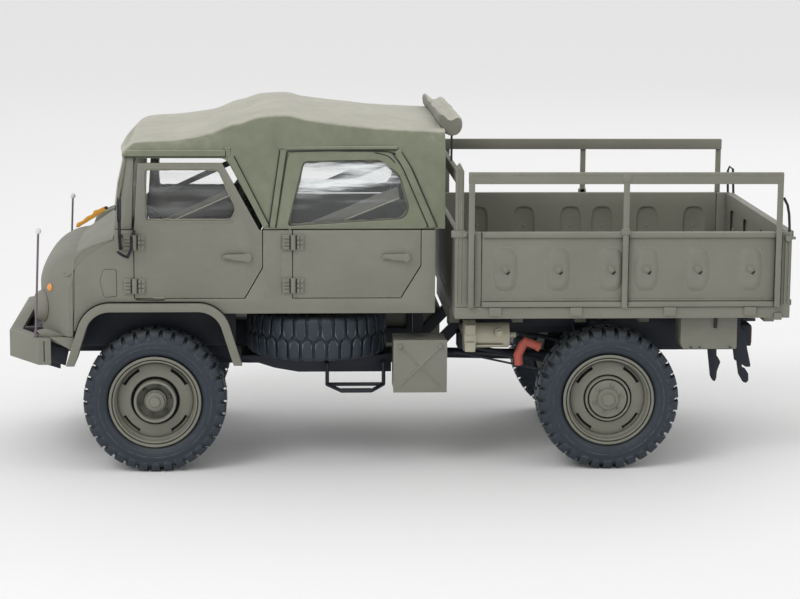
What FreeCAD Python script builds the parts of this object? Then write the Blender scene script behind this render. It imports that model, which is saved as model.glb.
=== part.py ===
import FreeCAD, Part
import math
import os

os.makedirs("parts", exist_ok=True)

# A scale model of a light military cargo truck with a crew cab, a soft top
# and a drop-side bed, at one thirty-fifth of full size, in millimetres.
# It is drawn with x = 0 at the front axle, +X to the rear, y = 0 in the
# middle with +Y on the truck's right side, and z = 0 on the ground.
# The last step moves every piece so that x = 0 is the middle of the length.

# Whole model
front_overhang = 26.9
wheelbase = 82.9
rear_overhang = 32.5
wheel_track = 46.6
clearance = 0.15
running_clearance = 0.05
panel = 1.0
overrun = 2.0
tolerance = 0.001

# Wheels
tyre_radius = 13.0
tyre_width = 8.2
tread_width = 7.0
lug_count = 34
lug_share = 0.6
lug_groove = 0.4
lug_height = 1.1
carcass_sides = 18
shoulder_drop = 1.5
rim_radius = 8.4
bulge_height = 2.3
rim_width = 7.4
rim_lip = 0.5
rim_wall = 0.55
well_depth = 1.4
disc_face = 1.1
disc_dish = 0.9
disc_thickness = 0.6
hand_hole_count = 4
hand_hole_radius = 0.6
hand_hole_inset = 0.85
hand_hole_sweep = 36.0
hub_radius = 3.8
front_hub_reach = 1.5
front_hub_recess = 1.0
rear_hub_reach = 0.7
hub_ring = 0.45
hub_boss_radius = 1.8
hub_boss_height = 0.8
hub_nose_radius = 1.0
hub_nose_height = 0.5
hub_end = 0.5
wheel_bolt_count = 6
wheel_bolt_radius = 0.4
wheel_bolt_height = 0.35
wheel_bolt_gap = 0.3
stub_radius = 1.1

# Heights of the chassis rails, each from the last
axle_height = tyre_radius
front_rail_rise = 6.4
back_rail_rise = 3.2
middle_rail_drop = 2.4
rail_depth = 3.0
front_rail_base = axle_height + front_rail_rise
middle_rail_base = front_rail_base - middle_rail_drop
back_rail_base = front_rail_base + back_rail_rise
middle_rail_top = middle_rail_base + rail_depth
back_rail_top = back_rail_base + rail_depth

# Heights of the cab, each from the last
sill_rise = 6.9
floor_rise = 2.2
door_sill = 0.7
door_height = 12.3
frame_height = 12.1
screen_height = 13.2
sill_height = front_rail_base + rail_depth + sill_rise
floor_height = sill_height + floor_rise
door_base = floor_height + door_sill
belt_height = door_base + door_height
door_frame_top = belt_height + frame_height
screen_top = belt_height + screen_height

# Places along the cab, each from the last
door_lead = 3.4
door_length = 22.9
middle_pillar = 5.6
rear_door_length = 23.0
back_pillar = 2.7
pillar_depth = 3.8
nose_set_back = 5.3
door_back = door_length - door_lead
rear_door_front = door_back + middle_pillar
rear_door_back = rear_door_front + rear_door_length
cab_back = rear_door_back + back_pillar
cowl_reach = door_lead + pillar_depth
nose_reach = front_overhang - nose_set_back

# Cab walls and nose
cab_width = 54.0
floor_thickness = 0.8
corner_sweep = 6.2
corner_power = 5
shut_inset = 0.8
nose_drop = 4.1
brow_drop = 10.4
bonnet_front_drop = 4.5
cowl_rise = 0.5
shoulder_run = 6.9
brow_bulge = 1.0
bonnet_crown = 1.8
crease_front_drop = 7.6
crease_back_drop = 1.6
crease_shares = ((0.0, 0.0), (0.31, 0.55), (1.0, 1.0))
bulkhead_lead = 2.0
bulkhead_drop = 3.5
cowl_shelf = 1.0
nose_width_shares = (-1.0, -0.93, -0.82, -0.65, -0.4, 0.0, 0.4, 0.65, 0.82, 0.93, 1.0)
nose_base = sill_height - nose_drop
brow_height = belt_height - brow_drop
bonnet_front_height = belt_height - bonnet_front_drop
cowl_height = belt_height + cowl_rise
shut_line = nose_reach - corner_sweep - shut_inset
grille_width = 24.0
grille_rise = 1.2
grille_height = 7.4
grille_corner = 1.5
grille_bar = 0.4
grille_depth = 0.5
grille_columns = 12
grille_rows = 5
lamp_radius = 3.2
lamp_wall = 0.45
lamp_depth = 2.6
lamp_set_back = 2.2
lamp_rise = 4.4
lamp_spread = 38.0
lamp_bar = 0.4
lamp_bar_shares = (-0.5, 0.0, 0.5)
lamp_front_share = 0.68
turn_lamp_rise = 3.9
turn_lamp_lead = 2.95
turn_lamp_share = 0.84
turn_lamp_radius = 0.8

# Doors and their windows
door_knee_rise = 5.6
door_heel = 3.2
rear_door_knee_rise = 5.9
rear_door_heel = 3.6
frame_foot_inset = 0.5
frame_back_inset = 7.1
frame_lean = 0.8
window_front_inset = 1.8
window_foot_rise = 1.4
window_head_drop = 1.1
window_back_inset = 3.6
window_top_inset = 0.6
window_step = 2.3
window_corner = 1.0
film = 0.3
film_overlap = 0.5
hinge_length = 3.8
hinge_height = 2.7
hinge_leaf = 0.35
hinge_pin = 0.45
hinge_top_drop = 0.8
hinge_foot_rise = 0.9
handle_length = 4.4
handle_radius = 0.35
handle_boss = 0.7
handle_stand = 0.9
handle_drop = 4.9
handle_inset = 1.9

# Front mudguards
arch_gap = 0.9
arch_height = 11.4
arch_half_length = 15.9
arch_slope_run = 3.6
arch_radius = 6.0
arch_lip = 1.5
mudguard_reach = 1.2
mudguard_depth = 10.0
mudguard_skin = 0.7
skirt_length = 4.4
skirt_depth = 2.8
arch_top = door_base - arch_gap
arch_base = arch_top - arch_height

# Windscreen
screen_rake = 1.8
screen_foot_depth = 3.3
screen_top_depth = 2.0
screen_inset = 0.5
pillar_width = 2.3
screen_rail = 1.7
screen_corner = 2.0
pane_inset = 1.0
screen_top_reach = cowl_reach - screen_rake

# Canvas top
canvas = 0.7
canopy_inset = 0.1
eave_inset = 1.6
eave_drop = 1.4
canopy_lead = 1.3
canopy_lap = 1.7
hem_rise = 0.9
hem_gap = 1.2
eave_lift = 7.5
ridge_lift = 8.7
canopy_fullness_share = 0.62
# Along the length, then the height of the eave and of the ridge over the windscreen
canopy_shares = (
    (0.0, 0.0, 0.03), (0.05, 0.31, 0.45), (0.18, 0.37, 0.59), (0.275, 0.55, 0.67), (0.38, 0.85, 0.84),
    (0.467, 1.0, 1.0), (0.526, 0.94, 0.97), (0.572, 0.77, 0.93), (0.67, 0.68, 0.87), (0.8, 0.62, 0.78),
    (1.0, 0.58, 0.67),
)
canopy_front = -screen_top_reach - canopy_lead
canopy_back = cab_back + canopy_lap
quarter_front_lead = 1.1
quarter_back_inset = 2.0
quarter_foot_rise = 0.7
quarter_top_rise = 0.7
quarter_corner = 1.0
quarter_shares = ((0.0, 0.0), (0.96, 0.1), (1.0, 0.26), (0.92, 0.77), (0.76, 1.0), (0.13, 0.97))
roll_length = 45.0
roll_depth = 4.7
roll_height = 4.3
roll_lap = 1.2
roll_rise = 3.3
roll_shares = (
    (0.0, 0.64), (0.0, 0.95), (0.2, 1.0), (0.42, 0.76), (0.72, 0.78), (0.92, 0.93), (1.0, 0.7),
    (0.88, 0.22), (0.66, 0.0), (0.34, 0.0), (0.34, 0.64),
)

# Bed
bed_width = 58.6
bed_gap = 3.4
bed_rise = 3.0
bed_rim_height = 2.1
bed_floor_rise = 1.6
bed_floor_thickness = 1.0
board_height = 13.7
board = 1.0
bed_bead = 0.5
front_post = 4.7
back_post = 2.9
emboss_height = 8.0
emboss_width = 4.6
emboss_rise = 0.5
emboss_corner = 0.9
emboss_shares = (0.078, 0.258, 0.438, 0.56, 0.734, 0.915)
gate_shares = (-0.75, -0.28, 0.28, 0.75)
bearer_count = 6
bearer_width = 2.0
bearer_gap = 3.1
rail_rise = 10.9
rail_reach = 0.9
hand_rail_height = 2.1
hand_rail_thickness = 0.9
rail_inset = 2.3
rail_end_inset = 2.0
rail_post = 1.1
rail_post_shares = (0.0, 0.5, 1.0)
stake_rise = 1.6
stake = 1.5
board_hinge_length = 2.2
board_hinge_height = 1.6
board_hinge_shares = (0.12, 0.36, 0.64, 0.88)
stay_rise = 6.2
stay_bulge = 0.7
stay_radius = 0.25
stay_shares = ((-0.86, 1.0), (0.29, 0.96), (1.0, 0.56), (0.86, 0.0))
bed_front = cab_back + bed_gap
bed_back = wheelbase + rear_overhang
bed_length = bed_back - bed_front
bed_base = back_rail_top + bed_rise
bed_rim_top = bed_base + bed_rim_height
bed_floor_height = bed_base + bed_floor_rise
board_top = bed_rim_top + board_height
hand_rail_top = board_top + rail_rise
stake_top = hand_rail_top + stake_rise

# Chassis
rail_spread = 20.0
rail_section = 1.4
beam_gap = 0.3
rail_tail_inset = 4.4
tail_rail_gap = 6.0
tail_rail_kink = 4.0
tail_rail_drop = 3.4
front_kink = 8.0
back_kink = 5.4
kink_gap = 5.3
mount_width = 2.0
apron_spread = 32.0
apron_thickness = 0.8
apron_length = 6.4
apron_height = 7.9
apron_drop = 2.3
apron_shares = ((0.0, 1.0), (0.0, 0.25), (1.0, 0.0), (1.0, 1.0))
axle_tube_rise = 3.2
axle_tube_radius = 1.5
casing_radius = 3.0
portal_spread = 35.0
portal_radius = 2.4
portal_thickness = 2.0
portal_round = 2.2
drum_radius = 4.6
drum_width = 1.8
spring_spread = 26.4
spring_radius = 2.0
spring_wire = 0.45
spring_turns = 6
damper_gap = 0.2
damper_lean = 2.6
damper_radius = 0.7
damper_body_share = 0.6
engine_length = 20.0
engine_width = 12.0
engine_rise = 1.0
gearbox_length = 9.0
gearbox_width = 7.0
gearbox_height = 8.4
gearbox_drop = 1.4
thrust_tube_radius = 1.0
radius_rod_spread = 27.0
radius_rod_drop = 2.0
radius_rod = 0.45
track_rod_lead = 6.0
track_rod_rise = 1.4
track_rod_radius = 0.4
silencer_front = 18.0
silencer_length = 12.0
silencer_radius = 2.0
pipe_radius = 0.7
rail_outside = rail_spread / 2 + rail_section / 2
axle_tube_height = axle_height + axle_tube_rise

# Front fittings
bumper_rise = 0.6
bumper_height = 4.9
bumper_depth = 2.3
bumper_flat = 36.0
bumper_sweep = 6.0
bumper_lamp_spread = 30.0
bumper_lamp_radius = 1.1
marker_inset = 1.5
left_marker_set = 0.5
right_marker_set = 0.9
marker_height = 19.4
marker_lean = 0.8
marker_radius = 0.22
marker_ball = 0.6
bumper_base = front_rail_base + bumper_rise
board_front_set = 4.8
board_length = 6.8
board_side = 14.0
board_breadth = 0.6
board_lift = 0.2
board_depth = 0.9
# Along the board, then its height over the bonnet
board_shares = (
    (0.0, 0.0), (1.0, 0.9), (1.0, 1.9), (0.9, 2.0), (0.72, 1.75), (0.6, 1.3), (0.4, 1.25), (0.22, 0.95), (0.08, 0.9),
)
wiper_spread = 24.0
wiper_gap = 0.45
wiper_lean = 3.0
wiper_length = 8.0
wiper_blade_share = 0.55
wiper_radius = 0.2
mirror_reach = 5.2
mirror_foot_lead = 2.4
mirror_foot_drop = 0.9
mirror_brace = 2.2
mirror_lead = 2.3
mirror_height = 4.3
mirror_breadth = 3.2
mirror_arm = 0.3

# Inside the cab
dash_drop = 6.1
dash_depth = 3.6
dash_shares = ((0.0, 0.0), (0.5, 0.0), (1.0, 0.55), (1.0, 0.85), (0.8, 1.0), (0.0, 1.0))
seat_spread = 26.0
steering_back = 8.6
steering_drop = 1.1
steering_radius = 4.6
steering_rim = 0.45
column_rise = 2.3
seat_depth = 12.6
seat_height = 15.6
seat_shares = (
    (0.02, 0.0), (0.94, 0.0), (0.94, 0.5), (1.0, 0.96), (0.88, 1.0), (0.78, 0.96), (0.7, 0.56), (0.06, 0.5), (0.0, 0.4),
)
front_seat_back_gap = 0.9
front_seat_width = 14.5
rear_seat_back_gap = 1.7
seat_gap = 2.0
window_stay_thickness = 0.5
window_stay_depth = 1.2
front_stay_shares = ((0.02, 0.0), (0.99, 0.68))
rear_stay_shares = ((0.09, 0.08), (0.92, 0.65))

# Under the body
spare_gap = 10.1
carrier_breadth = 7.8
carrier_lead = 1.0
carrier_depth = 3.2
carrier_shares = ((0.0, 1.0), (0.0, 0.86), (0.22, 0.25), (0.38, 0.0), (1.0, 0.0), (1.0, 1.0))
step_gap = 1.7
step_width = 10.4
step_drop = 2.0
step_rise = 3.8
step_reach = 27.2
step_loop_depth = 6.0
step_lean_share = 0.24
step_rod = 0.35
tread_depth = 1.6
battery_inset = 2.2
battery_length = 9.5
battery_depth = 7.6
battery_height = 9.4
battery_drop = 2.4
battery_side_inset = 1.0
battery_lip = 0.4
tank_length = 12.0
tank_corner = 1.6
air_cleaner_gap = 3.5
air_cleaner_stand = 7.4
air_flange_radius = 2.9
air_flange_thickness = 2.2
air_body_radius = 2.3
air_body_length = 6.2
air_nozzle_radius = 0.5
air_nozzle_length = 1.4
elbow_gap = 2.0
elbow_drop = 4.9
elbow_rise = 4.2
elbow_lean = 0.8
elbow_mouth = 2.7
elbow_fall = 1.4
elbow_radius = 0.75
feed_radius = 0.35
tool_box_inset = 8.9
tool_box_length = 10.4
tool_box_height = 6.9
tool_box_slant = 1.0
tool_box_side_inset = 3.3
tool_box_depth = 6.4
latch_share = 0.56
latch_height = 2.2
tail_bracket_gap = 1.0
tail_bracket_inset = 4.4
tail_bracket_length = 8.6
tail_plate_shares = (
    (0.6, 1.0), (0.59, 0.46), (0.62, 0.35), (0.67, 0.34), (0.72, 0.18), (0.82, 0.09), (0.89, 0.08), (0.94, 0.11),
    (0.93, 0.19), (0.86, 0.25), (0.79, 0.265), (0.78, 0.3), (0.87, 0.27), (0.97, 0.27), (0.97, 0.3), (0.88, 0.51),
    (0.83, 0.66), (0.81, 0.69), (0.72, 0.73), (0.72, 1.0),
)
tail_hook_shares = (
    (0.0, 1.0), (0.03, 0.46), (0.1, 0.16), (0.15, 0.11), (0.2, 0.1), (0.23, 0.14), (0.24, 0.22), (0.31, 0.33),
    (0.26, 0.38), (0.22, 0.41), (0.22, 1.0),
)
tail_lamp_set = 4.3
tail_lamp_drop = 4.0
tail_lamp_width = 5.2
tail_lamp_height = 4.0
tail_lamp_depth = 2.7
tail_lamp_corner = 0.6
jaw_length = 4.0
jaw_width = 3.4
jaw_height = 2.2
jaw_plate = 0.6
jaw_pin_radius = 0.5
jaw_pin_lip = 0.2
jaw_pin_inset = 1.5

# Where the middle of the length lies behind the front axle
rear_reach = bed_back + stay_bulge + stay_radius
middle_of_length = (rear_reach - front_overhang) / 2


def at(x, y, z):
    return FreeCAD.Vector(x, y, z)


def side_view(point, depth):
    return at(point[0], depth, point[1])


def front_view(point, depth):
    return at(depth, point[0], point[1])


def top_view(point, depth):
    return at(point[0], point[1], depth)


def rounded_wire(corners, radii):
    """Closed outline through the corners, each rounded by its own radius."""
    edges = []
    ends = []
    count = len(corners)
    for index in range(count):
        corner = corners[index]
        radius = radii[index]
        if radius == 0:
            ends.append((corner, corner))
            continue
        back = (corners[index - 1] - corner).normalize()
        ahead = (corners[(index + 1) % count] - corner).normalize()
        middle = (back + ahead).normalize()
        half_angle = back.getAngle(ahead) / 2
        tangent = radius / math.tan(half_angle)
        depth = radius / math.sin(half_angle) - radius
        start = corner + back * tangent
        end = corner + ahead * tangent
        ends.append((start, end))
        edges.append(Part.Arc(start, corner + middle * depth, end).toShape())
    for index in range(count):
        start = ends[index][1]
        end = ends[(index + 1) % count][0]
        if (end - start).Length > tolerance:
            edges.append(Part.makeLine(start, end))
    return Part.Wire(Part.__sortEdges__(edges))


def prism(points, view, start, end, radii=0.0):
    """Outline drawn in one view, made solid from one depth to another."""
    if not isinstance(radii, (list, tuple)):
        radii = [radii] * len(points)
    corners = [view(point, start) for point in points]
    face = Part.Face(rounded_wire(corners, radii))
    return face.extrude(view((0, 0), end) - view((0, 0), start))


def block(low, high):
    return Part.makeBox(high[0] - low[0], high[1] - low[1], high[2] - low[2], at(*low))


def side_block(side, low, high):
    """Block on one side of the truck, its depths given outwards from the middle."""
    near, far = sorted((side * low[1], side * high[1]))
    return block((low[0], near, low[2]), (high[0], far, high[2]))


def rectangle(low, high):
    return [(low[0], low[1]), (high[0], low[1]), (high[0], high[1]), (low[0], high[1])]


def rod(start, end, radius):
    """Round bar between two points."""
    return Part.makeCylinder(radius, (end - start).Length, start, end - start)


def bent_rod(points, radius):
    """Round bar through several points, with a ball at each bend."""
    pieces = [rod(points[index], points[index + 1], radius) for index in range(len(points) - 1)]
    pieces += [Part.makeSphere(radius, point) for point in points[1:-1]]
    return fused(pieces)


def facing(shape, centre, axis):
    """Copy of a shape drawn about +Z, set at a centre and turned to an axis."""
    placed = shape.copy()
    placed.Placement = FreeCAD.Placement(centre, FreeCAD.Rotation(at(0, 0, 1), axis))
    return placed


def turned(outline):
    """Closed outline of (radius, distance along the axis), turned about +Z."""
    corners = [at(radius, 0, along) for radius, along in outline]
    face = Part.Face(Part.makePolygon(corners + corners[:1]))
    return face.revolve(at(0, 0, 0), at(0, 0, 1), 360)


def fused(pieces):
    whole = pieces[0]
    if len(pieces) > 1:
        whole = whole.fuse(pieces[1:])
    return whole.removeSplitter()


def mirrored(shape):
    return shape.mirror(at(0, 0, 0), at(0, 1, 0))


def both_sides(shape):
    """The piece and its mirror image, as solids that do not touch."""
    return Part.makeCompound([shape, mirrored(shape)])


def scaled_points(shares, low, high):
    """Points given as shares of the span from one corner to the other."""
    return [(low[0] + a * (high[0] - low[0]), low[1] + b * (high[1] - low[1])) for a, b in shares]


def grown(points, amount):
    """Points of an outline moved away from their middle."""
    middle_x = (min(point[0] for point in points) + max(point[0] for point in points)) / 2
    middle_z = (min(point[1] for point in points) + max(point[1] for point in points)) / 2
    return [(x + math.copysign(amount, x - middle_x), z + math.copysign(amount, z - middle_z)) for x, z in points]


def save(name, shape):
    """Move a finished piece into the part's own frame and write it."""
    placed = shape.copy()
    placed.translate(at(-middle_of_length, 0, 0))
    placed.exportStep("parts/" + name + ".step")
    print(name, len(placed.Solids), "solids", round(placed.Volume), "mm3", placed.isValid())


# Wheels, each drawn about +Z with its outer face up

def flat_ring(radius, along):
    """Corners of a regular ring whose flats lie at the radius."""
    corner = radius / math.cos(math.pi / carcass_sides)
    steps = [2 * math.pi * index / carcass_sides for index in range(carcass_sides)]
    return [at(corner * math.cos(angle), corner * math.sin(angle), along) for angle in steps]


def carcass():
    """Plain body of the tyre: flat-sided rings from bead to bead."""
    bead = rim_width / 2 - rim_lip - clearance
    half = [(rim_radius + rim_lip, bead), (rim_radius + bulge_height, tyre_width / 2),
            (tyre_radius - shoulder_drop, tread_width / 2)]
    rings = [flat_ring(radius, along) for radius, along in half]
    rings += [flat_ring(radius, -along) for radius, along in reversed(half)]
    faces = [Part.Face(Part.makePolygon(ring + ring[:1])) for ring in (rings[0], rings[-1])]
    for first, second in zip(rings, rings[1:]):
        for index in range(carcass_sides):
            after = (index + 1) % carcass_sides
            corners = [first[index], first[after], second[after], second[index], first[index]]
            faces.append(Part.Face(Part.makePolygon(corners)))
    shell = Part.makeShell(faces)
    shell.sewShape()
    return Part.makeSolid(shell)


def lug_row(turn, start, end):
    """One row of lugs: a ring of flat-topped teeth with a notch between each two."""
    pitch = 2 * math.pi / lug_count
    half_lug = pitch * lug_share / 2
    tip = tyre_radius / math.cos(half_lug)
    valley = tyre_radius - lug_height
    corners = []
    for index in range(lug_count):
        middle = (index + turn) * pitch
        for angle, radius in ((-half_lug, tip), (half_lug, tip), (pitch / 2, valley)):
            corners.append(at(radius * math.cos(middle + angle), radius * math.sin(middle + angle), start))
    face = Part.Face(Part.makePolygon(corners + corners[:1]))
    hole = flat_ring(rim_radius + bulge_height, start)
    return face.cut(Part.Face(Part.makePolygon(hole + hole[:1]))).extrude(at(0, 0, end - start))


def tyre():
    """Tyre with two rows of lugs, each lug opposite a notch of the other row."""
    near = lug_groove / 2
    far = tread_width / 2
    whole = fused([carcass(), lug_row(0, near, far), lug_row(1 / 2, -far, -near)])
    bore = flat_ring(rim_radius - rim_lip + running_clearance, -tyre_width)
    bore_face = Part.Face(Part.makePolygon(bore + bore[:1]))
    return whole.cut(bore_face.extrude(at(0, 0, tyre_width * 2)))


def hand_holes():
    """Long curved holes near the edge of the wheel disc, as cutters."""
    middle = rim_radius - rim_lip - well_depth - hand_hole_inset
    holes = []
    for index in range(hand_hole_count):
        slot = Part.makeCylinder(middle + hand_hole_radius, rim_width, at(0, 0, 0), at(0, 0, 1), hand_hole_sweep)
        slot = slot.cut(Part.makeCylinder(middle - hand_hole_radius, rim_width))
        first = Part.makeCylinder(hand_hole_radius, rim_width, at(middle, 0, 0))
        last = first.copy()
        last.rotate(at(0, 0, 0), at(0, 0, 1), hand_hole_sweep)
        hole = fused([slot, first, last])
        hole.rotate(at(0, 0, 0), at(0, 0, 1), 360 / hand_hole_count * (index + 1 / 2) - hand_hole_sweep / 2)
        holes.append(hole)
    return Part.makeCompound(holes)


def hub_floor(hub_length, hub_recess):
    """Distance from the wheel's middle plane out to the face that carries the nuts."""
    return disc_face + disc_dish + hub_length - hub_recess


def wheel_bolts(floor):
    """Ring of nuts on the hub face."""
    ring = hub_boss_radius + wheel_bolt_radius + wheel_bolt_gap
    nuts = []
    for index in range(wheel_bolt_count):
        angle = 2 * math.pi * index / wheel_bolt_count
        nuts.append(Part.makeCylinder(wheel_bolt_radius, wheel_bolt_height, at(ring * math.cos(angle), ring * math.sin(angle), floor)))
    return nuts


def rim(hub_length, hub_recess):
    """Pressed steel wheel: flanges, well, dished disc, hub with boss and nuts."""
    edge = rim_width / 2
    seat = rim_radius - rim_lip
    well = seat - well_depth
    inner_seat = seat - rim_wall
    inner_well = well - rim_wall
    dish = disc_face + disc_dish
    face = dish + hub_length
    floor = hub_floor(hub_length, hub_recess)
    boss = floor + hub_boss_height
    nose = boss + hub_nose_height
    bore = stub_radius + running_clearance
    outline = [
        (rim_radius, edge), (rim_radius, edge - rim_lip), (seat, edge - rim_lip), (well, disc_face), (well, -disc_face),
        (seat, rim_lip - edge), (rim_radius, rim_lip - edge), (rim_radius, -edge), (inner_seat, -edge),
        (inner_well, -disc_face), (inner_well, disc_face - disc_thickness),
        (hub_radius + disc_dish, dish - disc_thickness), (bore, dish - disc_thickness),
        (bore, floor - hub_end), (0, floor - hub_end), (0, nose), (hub_nose_radius, nose), (hub_nose_radius, boss),
        (hub_boss_radius, boss), (hub_boss_radius, floor),
    ]
    if hub_recess:
        outline += [(hub_radius - hub_ring, floor), (hub_radius - hub_ring, face)]
    outline += [(hub_radius, face), (hub_radius, dish), (hub_radius + disc_dish, dish), (inner_well, disc_face),
                (inner_seat, edge)]
    body = turned(outline).cut(hand_holes())
    return fused([body] + wheel_bolts(floor))


# Nose and bonnet

def nose_places(width_share, inset):
    """Corners of one lengthwise section of the nose, from the foot of the front round to the cowl."""
    bow = abs(width_share)
    front = corner_sweep * bow ** corner_power - nose_reach + inset
    drop = bonnet_crown * bow ** 2 + inset
    brow = brow_height - drop
    run = shoulder_run * (1 - bow ** corner_power / 3)
    shoulder = bonnet_front_height - drop
    middle = (front + run / 3 - brow_bulge / 3, (brow + shoulder) / 2 + brow_bulge)
    base = nose_base - inset
    return [(front, base), (front, brow), middle, (front + run, shoulder), (-cowl_reach, cowl_height - drop),
            (-cowl_reach, base)]


def nose_section(width_share, inset):
    depth = (cab_width / 2 - inset) * width_share
    low, start, bulge, end, cowl, foot = [side_view(point, depth) for point in nose_places(width_share, inset)]
    brow_arc = Part.Arc(start, bulge, end).toShape()
    lines = [Part.makeLine(low, start), brow_arc, Part.makeLine(end, cowl)]
    lines += [Part.makeLine(cowl, foot), Part.makeLine(foot, low)]
    return Part.Wire(lines)


def nose_block(inset):
    sections = [nose_section(share, inset) for share in nose_width_shares]
    return Part.makeLoft(sections, True, False)


def bonnet_height(x, y):
    """Height of the bonnet at a place, on its sloping top or on its round front edge."""
    brow, middle, start, end = nose_places(y / (cab_width / 2), 0)[1:5]
    if x < start[0]:
        arc = Part.Arc(side_view(brow, y), side_view(middle, y), side_view(start, y)).toShape().Curve
        return arc.Center.z + math.sqrt(arc.Radius ** 2 - (x - arc.Center.x) ** 2)
    return start[1] + (end[1] - start[1]) * (x - start[0]) / (end[0] - start[0])


def crease_points(gap):
    """Line where the bonnet meets the cab side, lowered by a gap."""
    low = (-shut_line, belt_height - crease_front_drop - gap)
    return scaled_points(crease_shares, low, (-cowl_reach, belt_height - crease_back_drop - gap))


def grille_outline(inset):
    half = grille_width / 2 - inset
    low = nose_base + grille_rise
    return rectangle((-half, low + inset), (half, low + grille_height - inset))


def nose_panel():
    """Bonnet and nose in one hollow moulding, open below and behind."""
    shell = nose_block(0).cut(nose_block(panel))
    behind = overrun - cowl_reach
    below = crease_points(0) + [(behind, belt_height - crease_back_drop), (behind, nose_base - overrun)]
    below.append((-shut_line, nose_base - overrun))
    shell = shell.cut(prism(below, side_view, -cab_width, cab_width))
    ahead = -nose_reach - overrun
    return shell.cut(prism(grille_outline(0), front_view, ahead, panel + overrun - nose_reach, grille_corner))


def grille():
    """Mesh of flat bars let into the mouth of the nose."""
    front = panel - grille_depth - nose_reach
    plate = prism(grille_outline(running_clearance), front_view, front, front + grille_depth, grille_corner)
    pitch_across = grille_width / grille_columns
    pitch_up = grille_height / grille_rows
    holes = []
    for column in range(grille_columns):
        for row in range(grille_rows):
            left = -grille_width / 2 + column * pitch_across + grille_bar / 2
            low = nose_base + grille_rise + row * pitch_up + grille_bar / 2
            high = (front + grille_depth + overrun, left + pitch_across - grille_bar, low + pitch_up - grille_bar)
            holes.append(block((front - overrun, left, low), high))
    return plate.cut(Part.makeCompound(holes))


def lamp_centre(side):
    """Middle of a headlamp's back edge."""
    return at(lamp_set_back - nose_reach, side * lamp_spread / 2, nose_base + lamp_rise)


def headlamps():
    """Deep round lamps that narrow to the front, each with three guard bars, seated on the nose."""
    front_radius = lamp_radius * lamp_front_share
    shoulder = lamp_depth * lamp_front_share
    back_radius = lamp_radius - lamp_wall
    outline = [(lamp_radius, 0), (lamp_radius, lamp_wall), (lamp_radius - lamp_wall, shoulder), (front_radius, lamp_depth),
               (front_radius - lamp_wall, lamp_depth), (back_radius - lamp_wall, shoulder), (back_radius, lamp_wall),
               (back_radius, 0)]
    bowl = turned(outline)
    bars = []
    for share in lamp_bar_shares:
        place = front_radius * 2 * share * lamp_front_share
        half = math.sqrt(front_radius ** 2 - place ** 2) - lamp_wall / 2
        bars.append(block((place - lamp_bar / 2, -half, lamp_depth - lamp_wall), (place + lamp_bar / 2, half, lamp_depth)))
    lamp = fused([bowl] + bars)
    seat = nose_block(-running_clearance)
    return Part.makeCompound([facing(lamp, lamp_centre(side), at(-1, 0, 0)).cut(seat) for side in (-1, 1)])


def lamp_glasses():
    radius = lamp_radius * lamp_front_share - lamp_wall - running_clearance
    depth = lamp_depth - lamp_wall - clearance
    glass = Part.makeCylinder(radius, depth)
    seat = nose_block(-running_clearance)
    return Part.makeCompound([facing(glass, lamp_centre(side), at(-1, 0, 0)).cut(seat) for side in (-1, 1)])


def turn_lamps():
    """Half-round lamps on the shoulders of the nose."""
    centre = at(turn_lamp_lead - nose_reach, -turn_lamp_share * cab_width / 2, nose_base + lamp_rise + turn_lamp_rise)
    lamp = Part.makeSphere(turn_lamp_radius, centre)
    return both_sides(lamp.cut(nose_block(-running_clearance)))


# Cab

def arch_corners(inset):
    """Wheel arch seen from the side, moved inwards by an inset."""
    slope = arch_slope_run / arch_height
    shift = inset * math.sqrt(1 + slope ** 2)
    top = arch_half_length - arch_slope_run + slope * inset - shift
    foot = arch_half_length - shift + slope * overrun
    low = arch_base - overrun
    return [(-foot, low), (-top, arch_top - inset), (top, arch_top - inset), (foot, low)]


def arch_block(inset, start, end):
    radius = arch_radius - inset
    return prism(arch_corners(inset), side_view, start, end, [0, radius, radius, 0])


def front_door_panel(gap, top):
    """Front door below the belt line, grown by a gap."""
    return [
        (-door_lead - gap, door_base - gap), (door_back - door_heel + gap, door_base - gap),
        (door_back + gap, door_base + door_knee_rise - gap), (door_back + gap, top), (-door_lead - gap, top),
    ]


def front_door_frame():
    """Corners of the window frame that stands on the front door."""
    foot = door_back - frame_foot_inset
    return [(foot, belt_height), (door_back - frame_back_inset, door_frame_top), (frame_lean - door_lead, door_frame_top)]


def rear_door_panel(gap, top):
    return [
        (rear_door_front - gap, door_base - gap), (rear_door_back - rear_door_heel + gap, door_base - gap),
        (rear_door_back + gap, door_base + rear_door_knee_rise - gap), (rear_door_back + gap, top),
        (rear_door_front - gap, top),
    ]


def cab_body():
    """Floor, sides below the belt line, back wall, bulkhead and cowl shelf."""
    half = cab_width / 2
    inside = half - panel
    above = belt_height + overrun
    outline = [(clearance - shut_line, nose_base + panel)]
    outline += [(x + clearance, z) for x, z in crease_points(clearance)]
    outline += [(clearance - cowl_reach, belt_height), (cab_back, belt_height), (cab_back, sill_height)]
    outline += [(0, sill_height), (0, nose_base + panel)]
    side = prism(outline, side_view, -half, -inside)
    side = side.cut(arch_block(-clearance, -half - overrun, 0))
    side = side.cut(prism(front_door_panel(clearance, above), side_view, -half - overrun, 0))
    side = side.cut(prism(rear_door_panel(clearance, above), side_view, -half - overrun, 0))
    bulkhead_front = -cowl_reach - bulkhead_lead
    floor = block((bulkhead_front, -inside, floor_height), (cab_back - panel, inside, floor_height + floor_thickness))
    back = block((cab_back - panel, -inside, sill_height), (cab_back, inside, belt_height))
    bulkhead = block((bulkhead_front, -inside, floor_height), (bulkhead_front + panel, inside, belt_height - bulkhead_drop))
    shelf = block((clearance - cowl_reach, -inside, belt_height - cowl_shelf), (-door_lead - clearance, inside, belt_height))
    return fused([floor, side, mirrored(side), back, bulkhead, shelf])


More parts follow.
